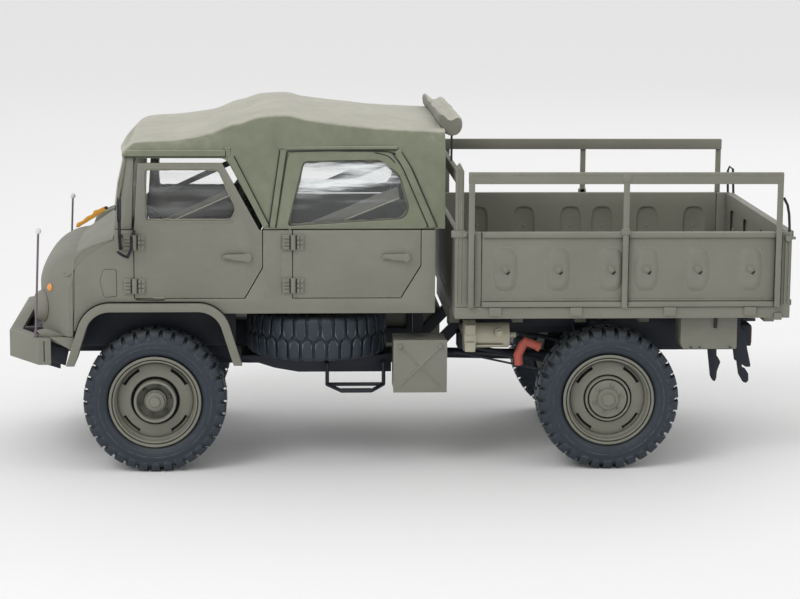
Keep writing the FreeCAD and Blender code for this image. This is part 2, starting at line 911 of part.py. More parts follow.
def window_opening():
    foot, top_back, top_front = front_door_frame()
    low = belt_height + window_foot_rise
    high = door_frame_top - window_head_drop
    front = window_front_inset - door_lead
    back = foot[0] - window_back_inset
    return [(front, low), (back - window_corner, low), (back, low + window_step), (top_back[0] - window_top_inset, high),
            (front, high)]


def hinge(place, height):
    """Door hinge on the left side: a leaf across the gap and its upright pin."""
    outer = -cab_width / 2
    leaf = block((place - hinge_length / 2, outer - hinge_leaf, height), (place + hinge_length / 2, outer, height + hinge_height))
    pin = Part.makeCylinder(hinge_pin, hinge_height, at(place, outer - hinge_leaf, height))
    beyond = block((place - hinge_length, outer, height - overrun), (place + hinge_length, 0, height + hinge_height + overrun))
    return fused([leaf, pin]).cut(beyond)


def door_hinges(place):
    high = belt_height - hinge_top_drop - hinge_height
    return [hinge(place, high), hinge(place, door_base + hinge_foot_rise)]


def handle(back):
    """Lever handle on the left side: a bar with a round boss at its back end."""
    outer = -cab_width / 2
    height = belt_height - handle_drop
    lead = back - handle_inset - handle_boss
    boss = rod(at(lead, outer, height), at(lead, outer - handle_stand, height), handle_boss)
    bar = rod(at(lead, outer - handle_stand + handle_radius, height),
              at(lead - handle_length, outer - handle_radius, height), handle_radius)
    beyond = block((lead - handle_length - overrun, outer, height - overrun), (lead + overrun, 0, height + overrun))
    return fused([boss, bar]).cut(beyond)


def front_door():
    """Left front door: panel and window frame in one piece, with hinges and handle."""
    half = cab_width / 2
    panel_points = front_door_panel(0, belt_height)
    outline = panel_points[:4] + front_door_frame() + panel_points[4:]
    door = prism(outline, side_view, -half, panel - half)
    door = door.cut(prism(window_opening(), side_view, -half - overrun, 0, window_corner))
    return fused([door, handle(door_back)] + door_hinges(-door_lead))


def rear_door():
    """Left rear door with its hinges and handle."""
    half = cab_width / 2
    door = prism(rear_door_panel(0, belt_height), side_view, -half, panel - half)
    return fused([door, handle(rear_door_back)] + door_hinges(rear_door_front))


def door_window():
    """Clear film behind the opening of the left front door."""
    inside = panel - cab_width / 2
    return prism(grown(window_opening(), film_overlap), side_view, inside, inside + film)


def mudguard():
    """Left front mudguard: lip around the arch, liner over the wheel, and the skirt below the nose."""
    side = -cab_width / 2
    outer = side - mudguard_reach
    hole = arch_block(arch_lip, outer - overrun, 0)
    lip = arch_block(0, outer, side)
    liner = arch_block(arch_lip - mudguard_skin, outer, outer + mudguard_depth)
    top = nose_base - clearance
    back = arch_lip - arch_half_length
    front = back - skirt_length
    skirt = prism([(front, top), (back, top), (back, top - skirt_depth)], side_view, side, side + mudguard_skin)
    below = block((-arch_half_length - overrun, -cab_width, 0), (arch_half_length + overrun, 0, arch_base))
    return fused([lip, liner, skirt]).cut(hole).cut(below)


# Windscreen

def screen_outline(inset):
    foot = belt_height + clearance
    return [
        (-cowl_reach + inset, foot), (-screen_top_reach + inset, screen_top),
        (-screen_top_reach + screen_top_depth, screen_top), (-cowl_reach + screen_foot_depth, foot),
    ]


def screen_opening(gap):
    half = cab_width / 2 - screen_inset - pillar_width - gap
    low = belt_height + screen_rail + gap
    return rectangle((-half, low), (half, screen_top - screen_rail - gap))


def windscreen_frame():
    """Raked frame whose pillars run back to the doors."""
    half = cab_width / 2 - screen_inset
    frame = prism(screen_outline(0), side_view, -half, half)
    frame = frame.cut(prism(screen_opening(0), front_view, -cowl_reach - overrun, 0, screen_corner))
    corners = [edge for edge in frame.Edges if is_front_corner(edge, half)]
    return frame.makeFillet(screen_corner, corners)


def is_front_corner(edge, half):
    box = edge.BoundBox
    upright = box.ZLength > screen_height / 2
    return upright and abs(abs(box.Center.y) - half) < tolerance and box.XMin < tolerance - cowl_reach


def windscreen_pane():
    """Clear film let into the windscreen opening."""
    foot, top = screen_outline(pane_inset)[:2]
    outline = [foot, top, (top[0] + film, top[1]), (foot[0] + film, foot[1])]
    sheet = prism(outline, side_view, -cab_width / 2, cab_width / 2)
    return sheet.common(prism(screen_opening(running_clearance), front_view, -cowl_reach - overrun, 0, screen_corner))


# Canvas top

def canopy_section(station, inset, foot):
    """One crosswise section of the canvas top."""
    along, eave, ridge = station
    half = cab_width / 2 - canopy_inset - inset
    shoulder = half - eave_inset
    lift = eave - inset
    peak = ridge - inset
    middle = lift + (peak - lift) * canopy_fullness_share
    points = [(-half, foot), (-half, lift - eave_drop), (-shoulder, lift), (-shoulder / 2, middle), (0, peak)]
    points += [(-y, z) for y, z in reversed(points[:-1])]
    corners = [front_view(point, along) for point in points]
    return Part.makePolygon(corners + corners[:1])


def canopy_stations():
    span = canopy_back - canopy_front
    return [(canopy_front + span * share, screen_top + eave_lift * low, screen_top + ridge_lift * high)
            for share, low, high in canopy_shares]


def canopy_block(inset, foot):
    stations = canopy_stations()
    first = (stations[0][0] + inset, stations[0][1], stations[0][2])
    last = (stations[-1][0] - inset, stations[-1][1], stations[-1][2])
    sections = [canopy_section(station, inset, foot) for station in [first] + stations[1:-1] + [last]]
    return Part.makeLoft(sections, True, True)


def quarter_opening():
    low = (rear_door_front - quarter_front_lead, belt_height + quarter_foot_rise)
    return scaled_points(quarter_shares, low, (rear_door_back - quarter_back_inset, door_frame_top + quarter_top_rise))


def canopy():
    """Canvas top over the cab, open over the doors and lapped over the windscreen frame."""
    shell = canopy_block(0, belt_height + clearance).cut(canopy_block(canvas, belt_height - overrun))
    ahead = canopy_front - overrun
    hem = door_frame_top + hem_rise
    head_back = door_back - frame_back_inset + hem_gap
    foot_back = door_back - frame_foot_inset + hem_gap
    door = [(ahead, hem), (head_back, hem), (foot_back, belt_height), (foot_back, belt_height - overrun)]
    door.append((ahead, belt_height - overrun))
    shell = shell.cut(prism(door, side_view, -cab_width, cab_width))
    shell = shell.cut(prism(quarter_opening(), side_view, -cab_width, cab_width, quarter_corner))
    frame_top = prism(grown(screen_outline(0), clearance), side_view, -cab_width / 2, cab_width / 2)
    return shell.cut(frame_top)


def quarter_window():
    inside = canopy_inset + canvas - cab_width / 2
    return prism(grown(quarter_opening(), film_overlap), side_view, inside, inside + film)


def canopy_roll():
    """Canvas rolled up along the back edge of the top, hollow along its upper side."""
    low = (canopy_back - roll_lap, screen_top + roll_rise)
    outline = scaled_points(roll_shares, low, (low[0] + roll_depth, low[1] + roll_height))
    return prism(outline, side_view, -roll_length / 2, roll_length / 2).cut(canopy_block(-clearance, belt_height))


# Bed

def bed_base_frame():
    """Bed floor with its rim, hinge lugs, cross bearers and back corner posts."""
    half = bed_width / 2
    outer = block((bed_front, -half, bed_base), (bed_back, half, bed_rim_top))
    inner_low = (bed_front + board, board - half, bed_base - overrun)
    rim_frame = outer.cut(block(inner_low, (bed_back - board, half - board, bed_rim_top + overrun)))
    low = bed_floor_height - bed_floor_thickness
    pieces = [rim_frame, block((bed_front, -half, low), (bed_back, half, bed_floor_height))]
    pitch = (bed_length - bearer_width) / (bearer_count - 1)
    bearer_end = half - tool_box_side_inset - tool_box_depth - bearer_gap
    for index in range(bearer_count):
        left = bed_front + index * pitch
        pieces.append(block((left, -bearer_end, back_rail_top), (left + bearer_width, bearer_end, low)))
    for side in (-1, 1):
        pieces.append(side_block(side, (bed_back - back_post, half - board, low), (bed_back, half, board_top)))
        for share in board_hinge_shares:
            place = bed_front + bed_length * share
            lug_low = (place - board_hinge_length / 2, half, bed_rim_top - board_hinge_height)
            pieces.append(side_block(side, lug_low, (place + board_hinge_length / 2, half + bed_bead, bed_rim_top)))
    return fused(pieces)


def embossments(places, rise_from, rise_to, view):
    """Row of raised oblong panels, given the place of each along the board."""
    middle = (bed_rim_top + board_top) / 2
    bumps = []
    for place in places:
        wide = rectangle((place - emboss_width / 2, middle - emboss_height / 2),
                         (place + emboss_width / 2, middle + emboss_height / 2))
        narrow = grown(wide, -emboss_rise)
        foot = rounded_wire([view(point, rise_from) for point in wide], [emboss_corner] * len(wide))
        crown = rounded_wire([view(point, rise_to) for point in narrow], [emboss_corner] * len(wide))
        bumps.append(Part.makeLoft([foot, crown], True, True))
    return bumps


def beaded_board(start, end, view, outside, inside):
    """Flat board with a bead along its top and bottom edges."""
    low = bed_rim_top + running_clearance
    plate = prism(rectangle((start, low), (end, board_top)), view, outside, inside)
    step = math.copysign(bed_bead, outside)
    beads = []
    for foot in (low, board_top - bed_bead * 2):
        beads.append(prism(rectangle((start, foot), (end, foot + bed_bead * 2)), view, outside, outside + step))
    return [plate] + beads


def pressed_board(start, end, places, view, outside):
    """Beaded board with raised panels that are hollow behind."""
    sign = math.copysign(1, outside)
    inside = outside - sign * board
    plate, low_bead, high_bead = beaded_board(start, end, view, outside, inside)
    plate = plate.cut(Part.makeCompound(embossments(places, inside, inside + sign * emboss_rise, view)))
    return fused([plate, low_bead, high_bead] + embossments(places, outside, outside + sign * emboss_rise, view))


def bed_side():
    """Left drop side: pressed board with six raised panels."""
    start = bed_front + front_post + clearance
    end = bed_back - back_post - clearance
    places = [start + (end - start) * share for share in emboss_shares]
    return pressed_board(start, end, places, side_view, -bed_width / 2)


def tailgate():
    half = bed_width / 2 - board - clearance
    return pressed_board(-half, half, [half * share for share in gate_shares], front_view, bed_back)


def headboard():
    """Front wall of the bed with its side returns, two tall stakes and a top bar."""
    half = bed_width / 2
    low = bed_rim_top + running_clearance
    pieces = [block((bed_front, -half, low), (bed_front + board, half, board_top))]
    for side in (-1, 1):
        pieces.append(side_block(side, (bed_front, half - board, low), (bed_front + front_post, half, board_top)))
        top = [(bed_front, low), (bed_front + stake, low), (bed_front + stake, stake_top - stake),
               (bed_front + stake / 2, stake_top), (bed_front, stake_top - stake / 2)]
        pieces.append(prism(top, side_view, side * (half - board), side * half))
    span = half - board
    pieces.append(block((bed_front, -span, hand_rail_top - hand_rail_height), (bed_front + board, span, hand_rail_top)))
    return fused(pieces)


def hand_rail():
    """Left hand rail: a long board on three posts outside the drop side."""
    inside = bed_width / 2 + bed_bead
    outside = bed_width / 2 + rail_reach
    start = bed_front + rail_inset
    end = bed_back - rail_end_inset
    bottom = hand_rail_top - hand_rail_height
    pieces = [side_block(-1, (start, outside - hand_rail_thickness, bottom), (end, outside, hand_rail_top))]
    for share in rail_post_shares:
        place = start + (end - start - rail_post) * share
        pieces.append(side_block(-1, (place, inside, bed_rim_top), (place + rail_post, outside, bottom)))
    middle = (start + end) / 2
    pieces.append(side_block(-1, (middle - rail_post, inside, bed_rim_top), (middle + rail_post, outside, board_top - emboss_rise)))
    return fused(pieces)


def gate_stay():
    """Left wire stay from the back post down to the tailgate's corner pin."""
    side = board / 2 - bed_width / 2
    low = (bed_back, board_top)
    points = scaled_points(stay_shares, low, (bed_back + stay_bulge, board_top + stay_rise))
    return bent_rod([side_view(point, side) for point in points], stay_radius)


# Chassis

def dip_start():
    """Place where the rails have come down behind the front wheels."""
    return spare_centre().x - tyre_radius - clearance


def dip_end():
    """Place where the rails have come up again under the bed."""
    return cab_back + kink_gap


def rail_front():
    return bumper_depth + beam_gap - front_overhang


def rail_back():
    return bed_back - rail_tail_inset


def rail_edge(lift, tail_drop):
    """Edge of a chassis rail from front to back, raised by a lift and dropped at the tail."""
    height = back_rail_base + lift
    tail = wheelbase + tail_rail_gap
    return [
        (rail_front(), front_rail_base + lift), (dip_start() - front_kink, front_rail_base + lift),
        (dip_start(), middle_rail_base + lift), (dip_end() - back_kink, middle_rail_base + lift),
        (dip_end(), height), (tail, height), (tail + tail_rail_kink, height - tail_drop), (rail_back(), height - tail_drop),
    ]


def cross_members():
    """Beams across the frame, front to back."""
    half_beam = apron_spread / 2
    front = rail_front()
    pieces = [block((front, -half_beam, front_rail_base), (front + rail_section, half_beam, front_rail_base + rail_depth))]
    for place in (dip_end(), rail_back() - rail_section):
        pieces.append(block((place, -rail_outside, back_rail_base), (place + rail_section, rail_outside, back_rail_top)))
    middle = (dip_start() + dip_end()) / 2
    low = (middle, -rail_outside, middle_rail_top - rail_section)
    pieces.append(block(low, (middle + rail_section, rail_outside, middle_rail_top)))
    return pieces


def frame_brackets(side):
    """Cab mounts, spring perches, radius rod bracket and front apron plate on one side."""
    inner = rail_outside - rail_section
    mounts = ((-cowl_reach - bulkhead_lead, front_rail_base), (cab_back - panel - mount_width, middle_rail_base))
    pieces = []
    for place, foot in mounts:
        pieces.append(side_block(side, (place, inner, foot), (place + mount_width, rail_outside, floor_height)))
    for place, top in spring_places():
        low = (place - spring_radius, inner, top)
        pieces.append(side_block(side, low, (place + spring_radius, spring_spread / 2 + spring_radius, top + rail_section)))
    rod_low = (dip_end(), inner, back_rail_base - radius_rod_drop - radius_rod)
    rod_high = (dip_end() + mount_width, radius_rod_spread / 2 + radius_rod, back_rail_base + rail_section / 2)
    pieces.append(side_block(side, rod_low, rod_high))
    front = (rail_front(), front_rail_base - apron_drop)
    outline = scaled_points(apron_shares, front, (front[0] + apron_length, front[1] + apron_height))
    edge = side * apron_spread / 2
    pieces.append(prism(outline, side_view, edge - side * apron_thickness, edge))
    return pieces


def frame():
    """Two kinked rails with their cross members and brackets."""
    outline = rail_edge(0, tail_rail_drop) + rail_edge(rail_depth, 0)[::-1]
    rail = prism(outline, side_view, -rail_outside, rail_section - rail_outside)
    return fused([rail, mirrored(rail)] + cross_members() + frame_brackets(-1) + frame_brackets(1))


def axle(place, floor):
    """Portal axle: tube, centre casing, hub casings, drums and stub shafts."""
    inner = portal_spread / 2
    pieces = [rod(at(place, -inner, axle_tube_height), at(place, inner, axle_tube_height), axle_tube_radius)]
    pieces.append(Part.makeSphere(casing_radius, at(place, 0, axle_tube_height)))
    for side in (-1, 1):
        outline = rectangle((place - portal_radius, axle_height - portal_radius),
                            (place + portal_radius, axle_tube_height + portal_radius))
        face = side * (inner + portal_thickness)
        pieces.append(prism(outline, side_view, side * inner, face, portal_round))
        centre = at(place, face, axle_height)
        pieces.append(Part.makeCylinder(drum_radius, drum_width, centre, at(0, side, 0)))
        reach = wheel_track / 2 + floor - hub_end - clearance
        pieces.append(rod(centre, at(place, side * reach, axle_height), stub_radius))
    return fused(pieces)


def spring_places():
    """Place of each axle, and the height of the perches above its springs."""
    return [(0, front_rail_base + rail_depth - rail_section), (wheelbase, back_rail_top - rail_section)]


def coil_springs():
    """Four coil springs, each as a stack of rings on a thin core."""
    springs = []
    base = axle_tube_height + axle_tube_radius
    core = spring_radius - spring_wire * 2
    for place, top in spring_places():
        rise = (top - base) / spring_turns
        outline = [(core, 0)]
        for turn in range(spring_turns):
            outline.append((spring_radius - spring_wire, turn * rise))
            outline.append((spring_radius, (turn + 1 / 2) * rise))
        outline += [(spring_radius - spring_wire, top - base), (core, top - base)]
        coil = turned(outline)
        for side in (-1, 1):
            springs.append(coil.translated(at(place, side * spring_spread / 2, base)))
    return Part.makeCompound(springs)


def shock_absorbers():
    """Four telescopic dampers from the axle tubes up beside the rails."""
    dampers = []
    y = -rail_outside - damper_radius - damper_gap
    for place, top in spring_places():
        foot = at(place - axle_tube_radius - damper_radius, y, axle_tube_height)
        head = foot + at(-damper_lean, 0, top - axle_tube_height)
        middle = foot + (head - foot) * damper_body_share
        dampers.append(fused([rod(foot, middle, damper_radius), rod(middle, head, damper_radius / 2)]))
    return Part.makeCompound(dampers + [mirrored(damper) for damper in dampers])


def gearbox_base():
    return middle_rail_base - gearbox_drop


def engine_block():
    """Engine and gearbox as one plain block low between the rails."""
    half = engine_width / 2
    engine = block((-engine_length / 2, -half, front_rail_base + engine_rise), (engine_length / 2, half, floor_height))
    low = (engine_length / 2, -gearbox_width / 2, gearbox_base())
    gearbox = block(low, (low[0] + gearbox_length, gearbox_width / 2, low[2] + gearbox_height))
    return fused([engine, gearbox])


def thrust_tube():
    """Closed drive tube from the gearbox to the back axle's casing."""
    start = at(engine_length / 2 + gearbox_length + clearance, 0, gearbox_base() + thrust_tube_radius * 2)
    end = at(wheelbase - casing_radius - clearance, 0, axle_tube_height)
    return rod(start, end, thrust_tube_radius)


def radius_rods():
    """Two slim rods from the rail brackets back to the rear axle."""
    y = -radius_rod_spread / 2
    start = at(dip_end() + mount_width + clearance, y, back_rail_base - radius_rod_drop)
    end = at(wheelbase - axle_tube_radius - clearance, y, axle_tube_height)
    return both_sides(rod(start, end, radius_rod))


def steering_linkage():
    """Track rod in front of the front axle, with an arm to each hub casing."""
    half = (portal_spread + portal_thickness) / 2
    height = axle_height + track_rod_rise
    ends = [at(-track_rod_lead, side * half, height) for side in (-1, 1)]
    pieces = [rod(ends[0], ends[1], track_rod_radius)]
    for end in ends:
        pieces.append(rod(end, end + at(track_rod_lead - portal_radius, 0, 0), track_rod_radius))
        pieces.append(Part.makeSphere(track_rod_radius, end))
    return fused(pieces)


def exhaust():
    """Silencer beside the right rail with its tail pipe."""
    start = at(silencer_front, rail_outside + silencer_radius, middle_rail_base)
    end = start + at(silencer_length, 0, 0)
    bend = end + at(pipe_radius, 0, 0)
    tail = [end, bend, bend + at(pipe_radius, silencer_radius * 3, 0)]
    return fused([rod(start, end, silencer_radius), bent_rod(tail, pipe_radius)])


# Front fittings

def bumper_points(inset):
    """Bumper seen from above: straight middle and swept ends."""
    half = cab_width / 2
    nose = inset - front_overhang
    flat = bumper_flat / 2 - inset / 2
    end = nose + bumper_sweep
    return [(end, -half), (nose, -flat), (nose, flat), (end, half)]


def front_bumper():
    """Pressed channel bumper, open towards the back, with two mounts and two lamp recesses."""
    top = bumper_base + bumper_height
    outer = prism(bumper_points(0) + bumper_points(bumper_depth)[::-1], top_view, bumper_base, top)
    hollow_points = bumper_points(panel) + bumper_points(bumper_depth + overrun)[::-1]
    whole = outer.cut(prism(hollow_points, top_view, bumper_base + panel, top - panel))
    for side in (-1, 1):
        place = at(-front_overhang, side * bumper_lamp_spread / 2, bumper_base + bumper_height / 2)
        whole = whole.cut(Part.makeCylinder(bumper_lamp_radius, panel / 2, place, at(1, 0, 0)))
    mounts = []
    for side in (-1, 1):
        low = (panel - front_overhang - clearance, rail_outside - rail_section, front_rail_base + panel)
        mounts.append(side_block(side, low, (rail_front(), rail_outside, front_rail_base + rail_depth)))
    return fused([whole] + mounts)


def marker_rods():
    """Slim width markers with a ball on top, one at each bumper end."""
    markers = []
    end = bumper_sweep - front_overhang
    for side, x in ((-1, end - left_marker_set), (1, end + right_marker_set)):
        foot = at(x, side * (cab_width / 2 - marker_inset), bumper_base + bumper_height)
        head = foot + at(marker_lean, 0, marker_height)
        stem = rod(foot + at(0, 0, running_clearance), head, marker_radius)
        markers.append(fused([stem, Part.makeSphere(marker_ball, head)]))
    return Part.makeCompound(markers)


def bonnet_board():
    """Thin yellow board with a wavy upper edge, standing on the right of the bonnet."""
    front = board_front_set - nose_reach
    outline = []
    for along, height in board_shares:
        x = front + board_length * along
        outline.append((x, bonnet_height(x, board_side) + board_lift + board_depth * height))
    return prism(outline, side_view, board_side, board_side + board_breadth)


def wiper():
    """Left wiper: arm with its blade lying on the windscreen."""
    foot = at(-cowl_reach - wiper_gap, -wiper_spread / 2, belt_height + screen_rail)
    head = at(-screen_top_reach - wiper_gap, -wiper_spread / 2 - wiper_lean, belt_height + wiper_length)
    middle = foot + (head - foot) * wiper_blade_share
    blade = rod(middle, head, wiper_radius * 3 / 2)
    return fused([rod(foot, head, wiper_radius), blade])


def mirror():
    """Left mirror: small oval head on a bent arm from the door hinge."""
    side = -cab_width / 2
    out = side - mirror_reach
    foot = at(-door_lead - mirror_foot_lead, side, belt_height - mirror_foot_drop)
    elbow = foot + at(0, -mirror_reach / 3, 0)
    base = at(-door_lead - mirror_lead, out, foot.z + panel)
    points = [foot, elbow, base, base + at(0, 0, mirror_height)]
    brace = [foot - at(0, 0, mirror_brace), foot - at(0, mirror_brace / 2, mirror_brace), base]
    half = mirror_breadth / 2
    low = base.z + mirror_brace
    outline = rectangle((out - half, low), (out + half, low + mirror_height))
    head = prism(outline, front_view, base.x - mirror_arm, base.x + mirror_arm, half - clearance)
    return fused([bent_rod(points, mirror_arm), bent_rod(brace, mirror_arm), head])


# Inside the cab

def dashboard():
    front = clearance - cowl_reach
    half = cab_width / 2 - panel - clearance
    high = (front + dash_depth, belt_height - cowl_shelf)
    return prism(scaled_points(dash_shares, (front, belt_height - dash_drop), high), side_view, -half, half)


def steering_wheel():
    """Wheel, spokes and column in front of the left seat."""
    y = -seat_spread / 2
    hub = at(steering_back - cowl_reach, y, belt_height - steering_drop)
    foot = at(panel + steering_rim - cowl_reach - bulkhead_lead, y, floor_height + floor_thickness + column_rise)
    axis = (hub - foot).normalize()
    across = at(0, 1, 0)
    along = axis.cross(across)
    ring = Part.makeTorus(steering_radius, steering_rim, hub, axis)
    spokes = [rod(hub - across * steering_radius, hub + across * steering_radius, steering_rim * 2 / 3)]
    spokes.append(rod(hub, hub + along * steering_radius, steering_rim * 2 / 3))
    return fused([ring, rod(foot, hub, steering_rim)] + spokes)


def seat(front, breadth, middle):
    """Seat with a cushion, a leaning back and a plinth down to the floor."""
    low = floor_height + floor_thickness
    profile = scaled_points(seat_shares, (front, low), (front + seat_depth, low + seat_height))
    return prism(profile, side_view, middle - breadth / 2, middle + breadth / 2)


def front_seats():
    front = door_back - front_seat_back_gap - seat_depth
    return both_sides(seat(front, front_seat_width, -seat_spread / 2))


def rear_bench():
    front = cab_back - panel - rear_seat_back_gap - seat_depth
    return seat(front, cab_width - panel * 2 - seat_gap * 2, 0)


def window_stay(opening, shares, inside):
    """Flat diagonal stay just inside a side window of the left side."""
    low = (min(point[0] for point in opening), min(point[1] for point in opening))
    high = (max(point[0] for point in opening), max(point[1] for point in opening))
    start, end = scaled_points(shares, low, high)
    rise = window_stay_depth / 2
    outline = [(start[0], start[1] - rise), (end[0], end[1] - rise), (end[0], end[1] + rise), (start[0], start[1] + rise)]
    return prism(outline, side_view, inside, inside + window_stay_thickness)


def window_stays():
    door_inside = panel + film + running_clearance - cab_width / 2
    canvas_inside = canopy_inset + canvas + film + running_clearance - cab_width / 2
    front = window_stay(window_opening(), front_stay_shares, door_inside)
    back = window_stay(quarter_opening(), rear_stay_shares, canvas_inside)
    return Part.makeCompound([front, back])


# Under the body

def spare_centre():
    height = middle_rail_top + clearance + tyre_width / 2
    return at(door_back + spare_gap, tyre_radius - cab_width / 2, height)


def battery_front():
    return cab_back + battery_inset - battery_length


def step_front():
    return battery_front() - step_gap - step_width


def spare_carrier():
    """Pan under the spare wheel, hung on the outside of the left rail, with a pale wedge in front."""
    inner = -rail_outside
    outer = inner - carrier_breadth
    front = spare_centre().x - tyre_radius - carrier_lead
    top = middle_rail_top
    outline = scaled_points(carrier_shares, (front, top - carrier_depth), (battery_front() - clearance, top))
    pan = prism(outline, side_view, outer, inner)
    hollow = prism(grown(outline, -panel), side_view, outer + panel, inner - panel)
    return pan.cut(hollow.translated(at(0, 0, panel * 2)))


def step(inner_end):
    """Left step: a level loop of rod with a tread plate, on two arms from an inner end."""
    front = step_front()
    back = front + step_width
    lean = step_width * step_lean_share
    outer = -step_reach
    inner = step_loop_depth - step_reach
    height = middle_rail_base - step_drop
    top = height + step_rise
    loop = [at(front, inner, height), at(front + lean, outer, height), at(back - lean, outer, height),
            at(back, inner, height), at(front, inner, height)]
    pieces = [bent_rod(loop, step_rod)]
    for x in (front, back):
        pieces.append(bent_rod([at(x, inner, height), at(x, inner, top), at(x, inner_end, top)], step_rod))
        pieces.append(Part.makeSphere(step_rod, at(x, inner, height)))
    pieces.append(block((front + lean, outer, height), (back - lean, outer + tread_depth, height + step_rod / 2)))
    return fused(pieces)


def steps():
    """Step hung on the spare wheel's pan at the left, and on the rail at the right."""
    return Part.makeCompound([step(-rail_outside - carrier_breadth), mirrored(step(-rail_outside))])


def battery_box():
    """Box on the left behind the step, with a raised cross on its lid."""
    outer = battery_side_inset - cab_width / 2
    inner = outer + battery_depth
    front = battery_front()
    back = front + battery_length
    base = middle_rail_base - battery_drop
    top = base + battery_height
    box = block((front, outer, base), (back, inner, top))
    lid = block((front - clearance, outer - battery_lip, base - clearance), (back + clearance, outer, top + clearance))
    inset = battery_lip * 3
    cross = []
    for start, end in ((base + inset, top - inset), (top - inset, base + inset)):
        ends = [at(front + inset, outer - battery_lip, start), at(back - inset, outer - battery_lip, end)]
        cross.append(rod(ends[0], ends[1], battery_lip / 2))
    hanger = block((front + inset, inner, middle_rail_base), (back - battery_inset - inset, -rail_outside, middle_rail_top))
    return fused([box, lid, hanger] + cross)


def fuel_tank():
    """Fuel tank on the right rail, behind the step."""
    outer = cab_width / 2 - battery_side_inset
    front = step_front() + step_width + step_rod + clearance * 2
    base = middle_rail_base - battery_drop
    top = base + battery_height
    outline = rectangle((rail_outside, base), (outer, top))
    tank = prism(outline, front_view, front, front + tank_length, [0, tank_corner, tank_corner, 0])
    cap_place = at(front + tank_length / 4, outer - tank_corner * 2, top)
    return fused([tank, Part.makeCylinder(tank_corner, panel, cap_place)])


def cleaner_start():
    """Middle of the air cleaner's front face."""
    y = -rail_outside - air_cleaner_stand - air_flange_radius
    return at(cab_back + battery_inset + air_cleaner_gap, y, back_rail_base + rail_depth / 2)


def air_cleaner():
    """Beige flanged cylinder lying along the left rail, on a lug from the rail."""
    start = cleaner_start()
    flange = Part.makeCylinder(air_flange_radius, air_flange_thickness, start, at(1, 0, 0))
    body_start = start + at(air_flange_thickness, 0, 0)
    body = Part.makeCylinder(air_body_radius, air_body_length, body_start, at(1, 0, 0))
    nozzle = Part.makeCylinder(air_nozzle_radius, air_nozzle_length, body_start + at(air_body_length, 0, 0), at(1, 0, 0))
    lug_high = (start.x + air_flange_thickness, -rail_outside, start.z + air_nozzle_radius)
    lug = block((start.x, start.y, start.z - air_nozzle_radius), lug_high)
    return fused([flange, body, nozzle, lug])


def filler_elbow():
    """Red elbow beside the back axle, fed by a thin pipe from under the air cleaner."""
    start = cleaner_start()
    feed = start + at(air_flange_thickness / 2, 0, -air_flange_radius - feed_radius - running_clearance)
    foot = start + at(air_flange_thickness + air_body_length + elbow_gap, 0, -elbow_drop)
    bend = foot + at(elbow_lean, 0, elbow_rise)
    mouth = bend + at(elbow_mouth, 0, -elbow_fall)
    return fused([bent_rod([foot, bend, mouth], elbow_radius), rod(feed, foot, feed_radius), Part.makeSphere(elbow_radius, foot)])


def under_floor():
    """Height of whatever hangs straight from the underside of the bed floor."""
    return bed_floor_height - bed_floor_thickness - running_clearance


def tool_box():
    """Left tool box under the back of the bed, with one slanted end and a latch."""
    top = under_floor()
    base = top - tool_box_height
    front = bed_back - tool_box_inset - tool_box_length
    back = front + tool_box_length
    outer = tool_box_side_inset - bed_width / 2
    slant = front + tool_box_slant / 2
    outline = [(front, base + tool_box_slant), (slant, base), (back, base), (back, top), (slant, top),
               (front, top - tool_box_slant)]
    box = prism(outline, side_view, outer, outer + tool_box_depth)
    latch_front = front + tool_box_length * latch_share
    latch = block((latch_front, outer - panel / 2, top - latch_height), (latch_front + panel / 2, outer, top - panel / 2))
    return fused([box, latch])


def tail_bracket_face():
    """Outer face of the left tail brackets, just inside the tool box."""
    return tool_box_side_inset + tool_box_depth + tail_bracket_gap - bed_width / 2


def tail_brackets():
    """Dark brackets and hanging hooks behind the tool box."""
    y = tail_bracket_face()
    low = (bed_back - tail_bracket_inset - tail_bracket_length, axle_height)
    high = (low[0] + tail_bracket_length, under_floor())
    pieces = []
    for shares in (tail_plate_shares, tail_hook_shares):
        pieces.append(prism(scaled_points(shares, low, high), side_view, y, y + panel))
    return Part.makeCompound(pieces + [mirrored(piece) for piece in pieces])


def tail_lamps():
    """Lamp housings on the inner faces of the tail brackets."""
    y = tail_bracket_face() + panel
    top = under_floor() - tail_lamp_drop
    back = bed_back - tail_lamp_set
    outline = rectangle((back - tail_lamp_depth, top - tail_lamp_height), (back, top))
    return both_sides(prism(outline, side_view, y, y + tail_lamp_width, [0, tail_lamp_corner, 0, 0]))


def tow_coupling():
    """Rear towing jaw with its pin, on the last cross member."""
    height = back_rail_base + rail_depth / 2
    half = jaw_height / 2
    front = rail_back()
    back = front + jaw_length
    jaw = block((front, -jaw_width / 2, height - half), (back, jaw_width / 2, height + half))
    slot_low = (front + jaw_plate, -jaw_width, height - half + jaw_plate)
    jaw = jaw.cut(block(slot_low, (back + overrun, jaw_width, height + half - jaw_plate)))
    pin_place = at(back - jaw_pin_inset, 0, height - half - jaw_pin_lip)
    return fused([jaw, Part.makeCylinder(jaw_pin_radius, jaw_height + jaw_pin_lip * 2, pin_place)])


# Assembly

def save_wheels():
    tread = tyre()
    places = {
        "front_left": (0, -1, front_hub_reach, front_hub_recess), "front_right": (0, 1, front_hub_reach, front_hub_recess),
        "rear_left": (wheelbase, -1, rear_hub_reach, 0), "rear_right": (wheelbase, 1, rear_hub_reach, 0),
    }
    for name, (along, side, hub_length, hub_recess) in places.items():
        centre = at(along, side * wheel_track / 2, axle_height)
        save("tyre_" + name, facing(tread, centre, at(0, side, 0)))
        save("rim_" + name, facing(rim(hub_length, hub_recess), centre, at(0, side, 0)))
    save("spare_tyre", facing(tread, spare_centre(), at(0, 0, 1)))
    save("spare_rim", facing(rim(rear_hub_reach, 0), spare_centre(), at(0, 0, 1)))


